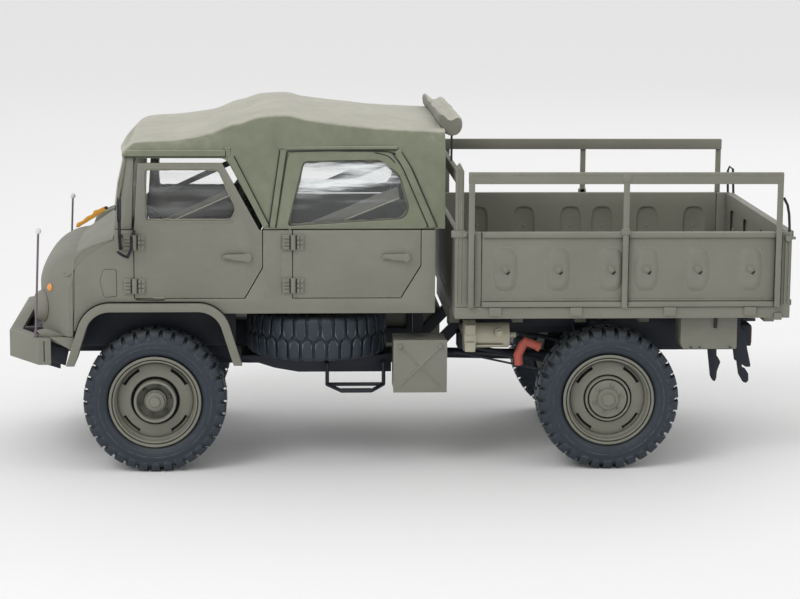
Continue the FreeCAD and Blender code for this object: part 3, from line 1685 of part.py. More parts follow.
def save_cab():
    save("nose_panel", nose_panel())
    save("grille", grille())
    save("headlamps", headlamps())
    save("headlamp_glasses", lamp_glasses())
    save("turn_lamps", turn_lamps())
    save("front_bumper", front_bumper())
    save("marker_rods", marker_rods())
    save("bonnet_board", bonnet_board())
    save("wipers", both_sides(wiper()))
    save("mirrors", both_sides(mirror()))
    save("windscreen_frame", windscreen_frame())
    save("windscreen_pane", windscreen_pane())
    save("cab_body", cab_body())
    save("front_doors", both_sides(front_door()))
    save("rear_doors", both_sides(rear_door()))
    save("door_windows", both_sides(door_window()))
    save("window_stays", both_sides(window_stays()))
    save("front_mudguards", both_sides(mudguard()))
    save("canopy", canopy())
    save("canopy_windows", both_sides(quarter_window()))
    save("canopy_roll", canopy_roll())
    save("dashboard", dashboard())
    save("steering_wheel", steering_wheel())
    save("front_seats", front_seats())
    save("rear_bench", rear_bench())


def save_bed():
    save("bed_floor", bed_base_frame())
    save("bed_sides", both_sides(bed_side()))
    save("bed_headboard", headboard())
    save("bed_tailgate", tailgate())
    save("hand_rails", both_sides(hand_rail()))
    save("tailgate_stays", both_sides(gate_stay()))


def save_chassis():
    save("chassis_frame", frame())
    save("front_axle", axle(0, hub_floor(front_hub_reach, front_hub_recess)))
    save("rear_axle", axle(wheelbase, hub_floor(rear_hub_reach, 0)))
    save("coil_springs", coil_springs())
    save("shock_absorbers", shock_absorbers())
    save("steering_linkage", steering_linkage())
    save("engine_block", engine_block())
    save("drive_tubes", Part.makeCompound([thrust_tube(), radius_rods()]))
    save("exhaust", exhaust())
    save("spare_carrier", spare_carrier())
    save("steps", steps())
    save("battery_box", battery_box())
    save("fuel_tank", fuel_tank())
    save("air_cleaner", air_cleaner())
    save("filler_elbow", filler_elbow())
    save("tool_box", tool_box())
    save("tail_brackets", tail_brackets())
    save("tail_lamps", tail_lamps())
    save("tow_coupling", tow_coupling())


save_wheels()
save_cab()
save_bed()
save_chassis()
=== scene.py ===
import math

import bmesh
import bpy
from mathutils import Matrix, Vector, noise
from mathutils.bvhtree import BVHTree


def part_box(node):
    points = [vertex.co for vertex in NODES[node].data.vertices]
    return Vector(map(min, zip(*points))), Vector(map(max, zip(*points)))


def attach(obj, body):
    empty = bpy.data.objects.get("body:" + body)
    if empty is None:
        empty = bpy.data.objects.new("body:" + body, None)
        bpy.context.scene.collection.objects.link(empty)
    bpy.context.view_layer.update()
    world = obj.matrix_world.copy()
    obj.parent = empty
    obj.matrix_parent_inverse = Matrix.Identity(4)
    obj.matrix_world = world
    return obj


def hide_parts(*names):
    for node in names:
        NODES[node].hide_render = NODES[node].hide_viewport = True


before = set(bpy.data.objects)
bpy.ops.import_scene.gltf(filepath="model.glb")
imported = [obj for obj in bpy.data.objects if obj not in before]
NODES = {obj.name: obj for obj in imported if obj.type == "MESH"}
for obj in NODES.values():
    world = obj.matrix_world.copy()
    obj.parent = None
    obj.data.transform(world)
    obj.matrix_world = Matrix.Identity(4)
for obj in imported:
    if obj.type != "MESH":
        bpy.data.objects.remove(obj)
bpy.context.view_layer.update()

# Looks of a built scale model of a light military cargo truck, around its solid frame.

bl_info = {
    "name": "Cargo truck scale model",
    "version": (1, 0, 0),
    "blender": (4, 5, 0),
    "location": "3D View > Sidebar > Truck",
    "description": "Builds the painted surfaces and small fittings of a cargo truck scale model",
    "category": "Object",
}

MM = 0.001
WELD = 0.002 * MM
FLAT_ANGLE = math.radians(1.5)
EDGE_ANGLE = math.radians(32)
SIDES = (-1, 1)
WHEELS = ("front_left", "front_right", "rear_left", "rear_right")


# Settings

def length(name, description, default, low=0.0, high=0.05):
    return bpy.props.FloatProperty(name=name, description=description, default=default, min=low, max=high,
                                   subtype="DISTANCE", unit="LENGTH", precision=6)


def share(name, description, default, high=1.0):
    return bpy.props.FloatProperty(name=name, description=description, default=default, min=0.0, max=high,
                                   subtype="FACTOR")


def count(name, description, default, high=200):
    return bpy.props.IntProperty(name=name, description=description, default=default, min=1, max=high)


def colour(name, description, default):
    return bpy.props.FloatVectorProperty(name=name, description=description, default=default, size=3, min=0.0, max=1.0,
                                         subtype="COLOR")


class TruckColours(bpy.types.PropertyGroup):
    """Colours of the paints, plastics and rubber, and of the painted shade and painted highlights."""

    body: colour("Body paint", "Matt olive grey of the panels", (0.203, 0.202, 0.166))
    # Pale edges: part worn paint, part painted highlight along the sharp edges.
    body_edge_wear_and_highlight: colour("Body edges", "Paler paint rubbed along the edges", (0.36, 0.355, 0.285))
    canvas: colour("Canvas paint", "Greener paint of the moulded canvas", (0.215, 0.232, 0.165))
    # Paler roof colour: part dust, part painted top light where the canvas faces up.
    canvas_top: colour("Canvas top", "Paler, dusted paint on the canvas roof", (0.52, 0.505, 0.425))
    tyre: colour("Tyre", "Blue black rubber", (0.022, 0.031, 0.043))
    # Pale lug edges: part worn rubber, part painted highlight.
    tyre_edge_wear_and_highlight: colour("Tyre edges", "Grey of the rubbed lugs", (0.2, 0.22, 0.24))
    # Near black paint, darkened and blued as painted shade under the body.
    chassis: colour("Chassis", "Near black paint under the body", (0.012, 0.016, 0.026))
    trim: colour("Trim", "Black plastic and wire", (0.012, 0.014, 0.02))
    orange: colour("Turn lamp", "Orange lens", (0.86, 0.33, 0.07))
    red: colour("Tail lamp", "Red lens", (0.42, 0.02, 0.015))
    yellow: colour("Bonnet board", "Yellow board", (0.75, 0.36, 0.05))
    pipe: colour("Elbow", "Matt red pipe", (0.5, 0.115, 0.085))
    unit: colour("Air cleaner", "Beige grey unit", (0.42, 0.4, 0.31))
    marker: colour("Marker ball", "White ball of the width marker", (0.75, 0.73, 0.73))
    wire: colour("Marker wire", "Purplish grey wire", (0.16, 0.12, 0.15))
    seat: colour("Cushions", "Dark cushion covers", (0.022, 0.027, 0.022))
    # Dark wash, which the recess mask also lays down as painted shade in hollows and corners.
    wash_and_shade: colour("Wash", "Dark wash in the recesses", (0.018, 0.02, 0.018))


class TruckSizes(bpy.types.PropertyGroup):
    """Sizes of what the looks add to the frame."""

    edge_round: length("Edge rounding", "Radius of the moulded edges", 0.12 * MM)
    # How much paler the edges are: worn paint and painted highlight.
    edge_wear_and_highlight: share("Edge wear", "How much paler the edges are", 0.55)
    # How dark the recesses are: wash and painted shade.
    wash_and_shade: share("Wash", "How dark the recesses are", 0.6)
    lug_count: count("Lugs", "Lugs in each row of a tyre", 34)
    fold_depth: length("Folds", "Depth of the folds moulded in the canvas", 0.22 * MM)
    film_wave: length("Film waves", "Height of the waves in the window film", 0.05 * MM)


class StageSettings(bpy.types.PropertyGroup):
    """Light and background of the stage."""

    key: bpy.props.FloatProperty(name="Key light", description="Strength of the large light at the upper left",
                                 default=1.15, min=0.0, unit="POWER")
    fill: share("Fill", "Strength of the light from all around", 0.8, 3.0)
    floor: colour("Floor", "Pale floor", (0.96, 0.96, 0.96))


def colours():
    return bpy.context.scene.truck_colours


def sizes():
    return bpy.context.scene.truck_sizes


# Places

def middle(node):
    low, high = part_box(node)
    return (low + high) / 2


FRONT_AXLE = middle("rim_front_left").x


def place(x, y, z):
    """Point in millimetres from the ground under the middle of the front axle."""
    return Vector((FRONT_AXLE + x * MM, y * MM, z * MM))


def span(node_name):
    """Corners of a solid's box in millimetres from the ground under the front axle."""
    return [Vector(((corner.x - FRONT_AXLE) / MM, corner.y / MM, corner.z / MM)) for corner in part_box(node_name)]


# Shader groups

def new_group(name, inputs, outputs):
    """Empty node group with its named sockets, and its input and output nodes."""
    group = bpy.data.node_groups.new(name, "ShaderNodeTree")
    for label, kind, default in inputs:
        socket = group.interface.new_socket(name=label, in_out="INPUT", socket_type="NodeSocket" + kind)
        socket.default_value = default
    for label, kind in outputs:
        group.interface.new_socket(name=label, in_out="OUTPUT", socket_type="NodeSocket" + kind)
    return group, group.nodes.new("NodeGroupInput"), group.nodes.new("NodeGroupOutput")


def node(tree, kind, inputs=None, **settings):
    """New shader node, its inputs given by name or number as values or as sockets to link."""
    made = tree.nodes.new("ShaderNode" + kind)
    for key, value in settings.items():
        setattr(made, key, value)
    for key, value in (inputs or {}).items():
        if isinstance(value, bpy.types.NodeSocket):
            tree.links.new(value, made.inputs[key])
        else:
            made.inputs[key].default_value = value
    return made


def maths(tree, operation, first, second=0.0, clamp=False):
    return node(tree, "Math", {0: first, 1: second}, operation=operation, use_clamp=clamp).outputs[0]


def stepped(tree, value, low, high):
    """Mask that rises smoothly from 0 at the low value to 1 at the high one."""
    ranged = node(tree, "MapRange", {"Value": value, "From Min": low, "From Max": high},
                  interpolation_type="SMOOTHSTEP")
    return ranged.outputs["Result"]


def blended(tree, mask, first, second):
    mixed = node(tree, "Mix", {"Factor": mask, "A": first, "B": second}, data_type="RGBA")
    return mixed.outputs["Result"]


def swing(tree, value, amount):
    """How far a noise lies from its middle, times an amount."""
    return maths(tree, "MULTIPLY", maths(tree, "SUBTRACT", value, 0.5), amount)


def noise_at(tree, vector, scale, detail=3.0, roughness=0.55, distortion=0.0):
    made = node(tree, "TexNoise", {"Vector": vector, "Scale": scale, "Detail": detail, "Roughness": roughness,
                                   "Distortion": distortion})
    return made.outputs["Fac"]


def model_paint_group():
    """Brushed model paint: mottled colour, dark wash and painted shade in recesses, pale edges of worn paint and
    painted highlight, dust on top.
    """
    group, entry, leave = new_group("Model paint", (
        ("Colour", "Color", (0.2, 0.2, 0.15, 1)), ("Edge Colour", "Color", (0.4, 0.4, 0.3, 1)),
        ("Wash Colour", "Color", (0.02, 0.02, 0.02, 1)), ("Dust Colour", "Color", (0.4, 0.39, 0.33, 1)),
        ("Edge Width", "Float", 0.3 * MM), ("Edge Amount", "Float", 0.5), ("Wash Amount", "Float", 0.5),
        ("Mottle", "Float", 0.5), ("Dust Amount", "Float", 0.2), ("Roughness", "Float", 0.6),
    ), (("Colour", "Color"), ("Roughness", "Float"), ("Height", "Float")))
    spot = node(group, "TexCoord").outputs["Object"]
    face = node(group, "NewGeometry")
    cloud = noise_at(group, spot, 90.0, 4.0)
    brushed = node(group, "Mapping", {"Vector": spot, "Scale": (1.0, 1.0, 3.2)})
    streak = noise_at(group, brushed.outputs[0], 420.0, 3.0)
    grain = noise_at(group, spot, 5200.0, 2.0, 0.7)
    tone = maths(group, "ADD", swing(group, cloud, 0.55), swing(group, streak, 0.3))
    tone = maths(group, "ADD", tone, swing(group, grain, 0.22))
    tone = maths(group, "ADD", 1.0, maths(group, "MULTIPLY", tone, entry.outputs["Mottle"]))
    toned = node(group, "VectorMath", {0: entry.outputs["Colour"]}, operation="SCALE")
    group.links.new(tone, toned.inputs["Scale"])
    # Painted shade: ambient occlusion darkens the recesses, a wash that also stands for shade.
    hidden = node(group, "AmbientOcclusion", {"Distance": 1.6 * MM}, samples=6).outputs["AO"]
    recess_shade = stepped(group, hidden, 0.72, 0.15)
    recess_shade = maths(group, "MULTIPLY", recess_shade, entry.outputs["Wash Amount"], True)
    washed_and_shaded = blended(group, recess_shade, toned.outputs["Vector"], entry.outputs["Wash Colour"])
    # Painted highlight: sharp open edges turn paler, together with worn paint.
    rounded = node(group, "Bevel", {"Radius": entry.outputs["Edge Width"]}, samples=6).outputs["Normal"]
    turn = node(group, "VectorMath", {0: rounded, 1: face.outputs["True Normal"]}, operation="DOT_PRODUCT")
    corner = stepped(group, turn.outputs["Value"], 0.985, 0.86)
    broken = stepped(group, noise_at(group, spot, 900.0, 3.0), 0.36, 0.62)
    open_edge = maths(group, "MULTIPLY", corner, stepped(group, hidden, 0.35, 0.8))
    rubbed_and_highlit = maths(group, "MULTIPLY", open_edge, maths(group, "MULTIPLY", broken, entry.outputs["Edge Amount"]), True)
    edged_and_highlit = blended(group, rubbed_and_highlit, washed_and_shaded, entry.outputs["Edge Colour"])
    upward = node(group, "SeparateXYZ", {0: face.outputs["Normal"]}).outputs["Z"]
    settled = maths(group, "MULTIPLY", stepped(group, upward, 0.2, 0.95), stepped(group, cloud, 0.3, 0.7))
    dusty = maths(group, "MULTIPLY", settled, entry.outputs["Dust Amount"], True)
    group.links.new(blended(group, dusty, edged_and_highlit, entry.outputs["Dust Colour"]), leave.inputs["Colour"])
    roughness = maths(group, "ADD", entry.outputs["Roughness"], swing(group, streak, 0.25), True)
    group.links.new(roughness, leave.inputs["Roughness"])
    height = maths(group, "ADD", maths(group, "MULTIPLY", grain, 0.6), maths(group, "MULTIPLY", streak, 0.4))
    group.links.new(height, leave.inputs["Height"])
    return group


def woven_group():
    """Moulded canvas: a fine weave, soft blotches, painted shade in the folds and hollows, and a paler roof that is
    part dust and part painted top light on the faces that point up.
    """
    group, entry, leave = new_group("Moulded canvas", (
        ("Colour", "Color", (0.16, 0.19, 0.12, 1)), ("Top Colour", "Color", (0.4, 0.4, 0.33, 1)),
        ("Shade Colour", "Color", (0.05, 0.06, 0.04, 1)), ("Weave Scale", "Float", 3600.0),
        ("Top Amount", "Float", 0.8),
    ), (("Colour", "Color"), ("Roughness", "Float"), ("Height", "Float")))
    spot = node(group, "TexCoord").outputs["Object"]
    face = node(group, "NewGeometry")
    cloud = noise_at(group, spot, 75.0, 5.0, 0.6)
    blotch = noise_at(group, spot, 420.0, 4.0, 0.65)
    threads = []
    for direction in ("X", "Z"):
        wave = node(group, "TexWave", {"Vector": spot, "Scale": entry.outputs["Weave Scale"], "Distortion": 1.2,
                                       "Detail": 1.0}, bands_direction=direction)
        threads.append(wave.outputs["Fac"])
    weave = maths(group, "MULTIPLY", threads[0], threads[1])
    tone = maths(group, "ADD", 0.72, maths(group, "MULTIPLY", blotch, 0.36))
    tone = maths(group, "ADD", tone, swing(group, cloud, 0.35))
    tone = maths(group, "ADD", tone, maths(group, "MULTIPLY", weave, 0.08))
    toned = node(group, "VectorMath", {0: entry.outputs["Colour"]}, operation="SCALE")
    group.links.new(tone, toned.inputs["Scale"])
    top_lit_colour = node(group, "VectorMath", {0: entry.outputs["Top Colour"]}, operation="SCALE")
    group.links.new(tone, top_lit_colour.inputs["Scale"])
    # Painted shade: ambient occlusion darkens the folds and hollows of the canvas.
    hidden = node(group, "AmbientOcclusion", {"Distance": 2.5 * MM}, samples=6).outputs["AO"]
    shaded = blended(group, stepped(group, hidden, 0.75, 0.3), toned.outputs["Vector"], entry.outputs["Shade Colour"])
    # Painted top light: faces that point up take the paler top colour, together with dust.
    upward = node(group, "SeparateXYZ", {0: face.outputs["Normal"]}).outputs["Z"]
    lifted = maths(group, "ADD", upward, swing(group, blotch, 0.3))
    roof = maths(group, "MULTIPLY", stepped(group, lifted, 0.42, 0.85), entry.outputs["Top Amount"], True)
    group.links.new(blended(group, roof, shaded, top_lit_colour.outputs["Vector"]), leave.inputs["Colour"])
    group.links.new(maths(group, "ADD", 0.72, maths(group, "MULTIPLY", blotch, 0.2)), leave.inputs["Roughness"])
    height = maths(group, "ADD", maths(group, "MULTIPLY", weave, 0.5), maths(group, "MULTIPLY", blotch, 0.5))
    group.links.new(height, leave.inputs["Height"])
    return group


def film_group():
    """Clear film: long streaks and specks where the plastic has gone hazy, fading in above a given height; on the rear
    film this haze is a painted reflection of the bright sky.
    """
    group, entry, leave = new_group("Window film", (
        ("Clear", "Float", 0.2), ("Haze", "Float", 0.6), ("Streak Scale", "Float", 260.0),
        ("Fade From", "Float", -0.002), ("Fade To", "Float", -0.001),
    ), (("Alpha", "Float"), ("Roughness", "Float"), ("Height", "Float")))
    spot = node(group, "TexCoord").outputs["Object"]
    drawn = node(group, "Mapping", {"Vector": spot, "Scale": (0.18, 1.0, 1.6)}).outputs[0]
    streak = noise_at(group, drawn, entry.outputs["Streak Scale"], 4.0, 0.6)
    speck = noise_at(group, spot, 2600.0, 2.0, 0.8)
    hazed = stepped(group, streak, 0.45, 0.7)
    speckled = maths(group, "MULTIPLY", stepped(group, speck, 0.62, 0.75), 0.35)
    height = node(group, "SeparateXYZ", {0: spot}).outputs["Z"]
    height = maths(group, "ADD", height, swing(group, streak, 6 * MM))
    faded = stepped(group, height, entry.outputs["Fade From"], entry.outputs["Fade To"])
    haze = maths(group, "MULTIPLY", maths(group, "MAXIMUM", hazed, speckled), entry.outputs["Haze"])
    haze = maths(group, "MULTIPLY", haze, faded)
    group.links.new(maths(group, "ADD", entry.outputs["Clear"], haze, True), leave.inputs["Alpha"])
    group.links.new(maths(group, "ADD", 0.06, maths(group, "MULTIPLY", hazed, 0.2)), leave.inputs["Roughness"])
    group.links.new(streak, leave.inputs["Height"])
    return group


# Materials

def rgba(value):
    return (value[0], value[1], value[2], 1.0)


def empty_material(name, **values):
    """Material with one Principled shader, its plain sockets set to the values."""
    material = bpy.data.materials.new(name)
    material.use_nodes = True
    tree = material.node_tree
    shader = tree.nodes["Principled BSDF"]
    for key, value in values.items():
        shader.inputs[key.replace("_", " ")].default_value = value
    return material, tree, shader


def placed_group(tree, group, **values):
    made = tree.nodes.new("ShaderNodeGroup")
    made.node_tree = group
    for key, value in values.items():
        made.inputs[key.replace("_", " ")].default_value = value
    return made


def bumped(tree, shader, height, strength, distance):
    bump = node(tree, "Bump", {"Height": height, "Strength": strength, "Distance": distance})
    tree.links.new(bump.outputs["Normal"], shader.inputs["Normal"])


def painted(name, base, edge, roughness=0.6, grain=0.025 * MM, specular=0.35, **amounts):
    """Model paint in one colour, with its own amounts of wear, dust, wash, painted shade and painted highlight."""
    material, tree, shader = empty_material(name, Specular_IOR_Level=specular)
    values = {"Edge_Width": 0.22 * MM, "Edge_Amount": sizes().edge_wear_and_highlight, "Wash_Amount": sizes().wash_and_shade, "Mottle": 0.5,
              "Dust_Amount": 0.15}
    values.update(amounts)
    look = placed_group(tree, bpy.data.node_groups["Model paint"], Colour=rgba(base), Edge_Colour=rgba(edge),
                        Wash_Colour=rgba(colours().wash_and_shade), Roughness=roughness, **values)
    tree.links.new(look.outputs["Colour"], shader.inputs["Base Color"])
    tree.links.new(look.outputs["Roughness"], shader.inputs["Roughness"])
    bumped(tree, shader, look.outputs["Height"], 0.35, grain)
    return material


def canvas_material(name, dust_and_top_light_amount, side):
    material, tree, shader = empty_material(name, Specular_IOR_Level=0.2, Sheen_Weight=0.15, Sheen_Roughness=0.6)
    look = placed_group(tree, bpy.data.node_groups["Moulded canvas"], Colour=rgba(side),
                        Top_Colour=rgba(colours().canvas_top), Top_Amount=dust_and_top_light_amount)
    tree.links.new(look.outputs["Colour"], shader.inputs["Base Color"])
    tree.links.new(look.outputs["Roughness"], shader.inputs["Roughness"])
    bumped(tree, shader, look.outputs["Height"], 0.5, 0.05 * MM)
    return material


def film_material(name, clear, haze, fade=(-2.0, -1.0)):
    """Clear film; its haze fades in between two heights in millimetres."""
    material, tree, shader = empty_material(name, Base_Color=(0.82, 0.85, 0.86, 1), Specular_IOR_Level=0.3)
    look = placed_group(tree, bpy.data.node_groups["Window film"], Clear=clear, Haze=haze, Fade_From=fade[0] * MM,
                        Fade_To=fade[1] * MM)
    tree.links.new(look.outputs["Alpha"], shader.inputs["Alpha"])
    tree.links.new(look.outputs["Roughness"], shader.inputs["Roughness"])
    bumped(tree, shader, look.outputs["Height"], 0.4, 0.1 * MM)
    return material


def make_materials():
    """All the finishes, kept by name in Blender's own list."""
    model_paint_group()
    woven_group()
    film_group()
    tint = colours()
    painted("Body paint", tint.body, tint.body_edge_wear_and_highlight)
    painted("Rim paint", tint.body, tint.body_edge_wear_and_highlight, Wash_Amount=0.75)
    # Chassis paint darkened as painted shade under the body.
    painted("Chassis paint", tint.chassis, tint.tyre_edge_wear_and_highlight, 0.5, Edge_Amount=0.25, Dust_Amount=0.08)
    painted("Trim", tint.trim, tint.tyre_edge_wear_and_highlight, 0.42, Edge_Amount=0.2, Dust_Amount=0.03)
    painted("Tyre rubber", tint.tyre, tint.tyre_edge_wear_and_highlight, 0.55, Edge_Amount=0.75, Edge_Width=0.16 * MM, Dust_Amount=0.12,
            Mottle=0.8, specular=0.4)
    painted("Yellow board", tint.yellow, (0.85, 0.6, 0.2), 0.5, Edge_Amount=0.2, Wash_Amount=0.2)
    painted("Red pipe", tint.pipe, (0.6, 0.25, 0.2), 0.55, Edge_Amount=0.3, Wash_Amount=0.4)
    painted("Beige unit", tint.unit, (0.5, 0.48, 0.4), 0.6, Edge_Amount=0.6, Wash_Amount=0.8)
    painted("Cushion cloth", tint.seat, (0.07, 0.075, 0.06), 0.75, Edge_Amount=0.3)
    painted("Marker ball", tint.marker, (0.8, 0.8, 0.8), 0.35, Edge_Amount=0.1, Wash_Amount=0.2, Mottle=0.2)
    painted("Marker wire", tint.wire, (0.4, 0.36, 0.4), 0.35, Edge_Amount=0.3, Wash_Amount=0.2)
    lens = {"Edge_Amount": 0.1, "Wash_Amount": 0.2, "Mottle": 0.15, "specular": 0.6}
    painted("Orange lens", tint.orange, (0.9, 0.5, 0.2), 0.2, **lens)
    painted("Red lens", tint.red, (0.6, 0.1, 0.08), 0.2, **lens)
    # The canvas roof, the roll and the film edges take painted top light on their upward faces.
    canvas_material("Canvas top", 0.9, tint.canvas)
    canvas_material("Canvas roll", 0.9, tint.body)
    canvas_material("Film edge", 0.2, tint.body)
    # Dark lines: seams, and painted shadows beside the nose, the sill, the posts and the bolts.
    painted("Seam line", tint.wash_and_shade, tint.canvas, 0.7, Edge_Amount=0.05, Wash_Amount=0.2)
    # Pale lines: pale beads, and painted highlights on the windscreen post, the sill and the stays.
    painted("Light edge", tint.body_edge_wear_and_highlight, (0.6, 0.6, 0.52), 0.5, Edge_Amount=0.3, Wash_Amount=0.3)
    # Socket: dark disc behind the rim slots, painted shade seen through them.
    painted("Socket", tint.wash_and_shade, tint.body, 0.7, Edge_Amount=0.1)
    film_material("Door film", 0.03, 0.07)
    # Rear film: haze that fades in above a height, a painted reflection on its upper part.
    film_material("Rear film", 0.05, 1.0, (48.5, 53.0))
    film_material("Screen film", 0.16, 0.2)
    film_material("Lamp glass", 0.5, 0.3)


# Mesh tools

def material(name):
    return bpy.data.materials[name]


def smooth(mesh, angle=EDGE_ANGLE):
    mesh.shade_smooth()
    mesh.set_sharp_from_angle(angle=angle)


def add_piece(name, mesh, finish, body="truck", stands_for=()):
    """Put a finished mesh into the scene with its material, riding on a body."""
    made = bpy.data.objects.new(name, mesh)
    bpy.context.scene.collection.objects.link(made)
    for label in [finish] if isinstance(finish, str) else finish:
        mesh.materials.append(material(label))
    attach(made, body)
    if stands_for:
        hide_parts(*stands_for)
    return made


def mesh_of(name, bm):
    mesh = bpy.data.meshes.new(name)
    bmesh.ops.recalc_face_normals(bm, faces=bm.faces)
    bm.to_mesh(mesh)
    bm.free()
    smooth(mesh)
    return mesh


def round_edges(bm, width, segments=2, angle=EDGE_ANGLE):
    """Round every edge that turns by more than the angle."""
    sharp = [edge for edge in bm.edges if len(edge.link_faces) == 2 and edge.calc_face_angle(0) > angle]
    bmesh.ops.bevel(bm, geom=sharp, offset=width, segments=segments, profile=0.5, affect="EDGES", clamp_overlap=True)


def welded_copy(node_name):
    """Mesh of a solid with its doubled corners joined and its flat faces whole again."""
    bm = bmesh.new()
    bm.from_mesh(NODES[node_name].data)
    bmesh.ops.remove_doubles(bm, verts=bm.verts, dist=WELD)
    bmesh.ops.dissolve_limit(bm, angle_limit=FLAT_ANGLE, verts=bm.verts, edges=bm.edges)
    return bm


def rounded_node(node_name, finish, width=None, body="truck"):
    """Piece that stands for a solid, in its shape but with rounded edges."""
    bm = welded_copy(node_name)
    round_edges(bm, width or sizes().edge_round)
    return add_piece(node_name + "_moulding", mesh_of(node_name + "_moulding", bm), finish, body, (node_name,))


def joined(name, parts):
    """One mesh out of several bmeshes, each with its own material number."""
    whole = bmesh.new()
    for bm, number in parts:
        for face in bm.faces:
            face.material_index = number
        scratch = bpy.data.meshes.new("scratch")
        bm.to_mesh(scratch)
        bm.free()
        whole.from_mesh(scratch)
        bpy.data.meshes.remove(scratch)
    return mesh_of(name, whole)


def moved(bm, matrix):
    bmesh.ops.transform(bm, matrix=matrix, verts=bm.verts)
    return bm


def box_mesh(low, high, width=0.0, segments=2):
    """Box between two corners with rounded edges."""
    bm = bmesh.new()
    bmesh.ops.create_cube(bm, size=1.0)
    low, high = Vector(low), Vector(high)
    moved(bm, Matrix.Translation((low + high) / 2) @ Matrix.Diagonal((*(high - low), 1.0)))
    if width:
        round_edges(bm, width, segments)
    return bm


def turns(total):
    """Angles of equal steps once round."""
    return [2 * math.pi * step / total for step in range(total)]


def join_rings(bm, rings, wrap=True, close=False):
    """Faces between each ring of corners and the next one, and back to the first where it closes."""
    for first, second in list(zip(rings, rings[1:])) + ([(rings[-1], rings[0])] if close else []):
        total = len(first)
        for step in range(total if wrap else total - 1):
            after = (step + 1) % total
            bm.faces.new((first[step], first[after], second[after], second[step]))


def close_ends(bm, rings):
    """A face over the first and over the last ring."""
    for ring in (rings[0], rings[-1]):
        bm.faces.new(ring)


def lathe(outline, segments=64, closed=False):
    """Outline of (radius, height) in metres turned about +Z."""
    bm = bmesh.new()
    rings = [[bm.verts.new((radius * math.cos(angle), radius * math.sin(angle), height)) for angle in turns(segments)]
             for radius, height in outline]
    join_rings(bm, rings, close=closed)
    if not closed:
        close_ends(bm, rings)
    bmesh.ops.remove_doubles(bm, verts=bm.verts, dist=WELD)
    return bm


def turned(outline, segments=64, closed=False):
    """Outline of (radius, height) in millimetres turned about +Z."""
    return lathe([(radius * MM, height * MM) for radius, height in outline], segments, closed)


def tube(points, radius, sides=12):
    """Round bar along points, with flat ends."""
    bm = bmesh.new()
    rings = []
    points = [Vector(point) for point in points]
    across = None
    for index, point in enumerate(points):
        ahead = points[min(index + 1, len(points) - 1)] - points[max(index - 1, 0)]
        ahead.normalize()
        if across is None:
            across = ahead.orthogonal().normalized()
        across = (across - ahead * across.dot(ahead)).normalized()
        up = ahead.cross(across)
        rings.append([bm.verts.new(point + (across * math.cos(angle) + up * math.sin(angle)) * radius)
                      for angle in turns(sides)])
    join_rings(bm, rings)
    close_ends(bm, rings)
    return bm


def plate(outline, start, end, width=0.0):
    """Outline of points, given at one depth, made solid up to another along the same direction."""
    bm = bmesh.new()
    face = bm.faces.new([bm.verts.new(point) for point in outline])
    made = bmesh.ops.extrude_face_region(bm, geom=[face])
    shift = Vector(end) - Vector(start)
    bmesh.ops.translate(bm, vec=shift, verts=[item for item in made["geom"] if isinstance(item, bmesh.types.BMVert)])
    bmesh.ops.recalc_face_normals(bm, faces=bm.faces)
    if width:
        round_edges(bm, width)
    return bm


def outward(spot, side):
    """Moves a piece drawn about +Z to a spot, its +Z turned straight out to a side."""
    return Matrix.Translation(spot) @ Matrix.Rotation(-side * math.pi / 2, 4, "X")


def block(side, low, high, width=0.1):
    """Rounded box on one side between two corners in millimetres, y counted outwards."""
    corners = [place(x, side * y, z) for x, y, z in (low, high)]
    return box_mesh([min(pair) for pair in zip(*corners)], [max(pair) for pair in zip(*corners)], width * MM)


def turned_boss(outline, spot, side, segments=20):
    """Small turned piece, outline of (radius, height) in millimetres, standing out from a spot on a side."""
    x, y, z = spot
    return moved(turned(outline, segments), outward(place(x, side * y, z), side))


def wire(side, points, radius, sides=10):
    """Round wire on one side through points in millimetres, y counted outwards."""
    return tube([place(x, side * y, z) for x, y, z in points], radius * MM, sides)


def side_plate(side, outline, y_low, y_high, width=0.1):
    """Outline of (x, z) made solid between two distances outwards in millimetres."""
    return side_prism(outline, side * y_low * MM, side * y_high * MM, width * MM)


def pressed_panel(centre, half, levels, side, power=3.4, steps=32):
    """Closed boss with a rounded oblong outline: levels of (inset, y) outwards, around a centre of (x, z)."""
    bm = bmesh.new()
    rings = []
    for inset, y in levels:
        ring = []
        for angle in turns(steps):
            reach = [math.copysign(abs(value) ** (2 / power), value) for value in (math.cos(angle), math.sin(angle))]
            x, z = (centre[axis] + reach[axis] * max(half[axis] - inset, 0.01) for axis in (0, 1))
            ring.append(bm.verts.new(place(x, side * y, z)))
        rings.append(ring)
    join_rings(bm, rings)
    close_ends(bm, rings)
    bmesh.ops.recalc_face_normals(bm, faces=bm.faces)
    return bm


def add_parts(name, parts, finish, stands_for=()):
    """Piece made of several bmeshes in one finish."""
    return add_piece(name, joined(name, [(bm, 0) for bm in parts]), finish, stands_for=stands_for)


# Depths to the side in millimetres: where looking in starts, and where the skin lies if nothing is met.
FAR_OUT = 60
BODY_HALF = 26.9


class Skin:
    """Outer surface of some solids, found by looking straight in from a side."""

    def __init__(self, names):
        bm = bmesh.new()
        for name in names:
            bm.from_mesh(NODES[name].data)
        self.tree = BVHTree.FromBMesh(bm)
        bm.free()

    def at(self, x, z, side, lift=0.0):
        hit = self.tree.ray_cast(place(x, side * FAR_OUT, z), Vector((0.0, -side, 0.0)))[0]
        return (hit or place(x, side * BODY_HALF, z)) + Vector((0.0, side * lift * MM, 0.0))

    def line(self, points, side, lift, step=0.5):
        """Points along a line of (x, z), laid on the surface."""
        laid = []
        for start, end in zip(points, points[1:]):
            start, end = Vector(start), Vector(end)
            parts = max(1, int((end - start).length / step))
            laid += [start.lerp(end, part / parts) for part in range(parts)]
        return [self.at(x, z, side, lift) for x, z in laid + [Vector(points[-1])]]


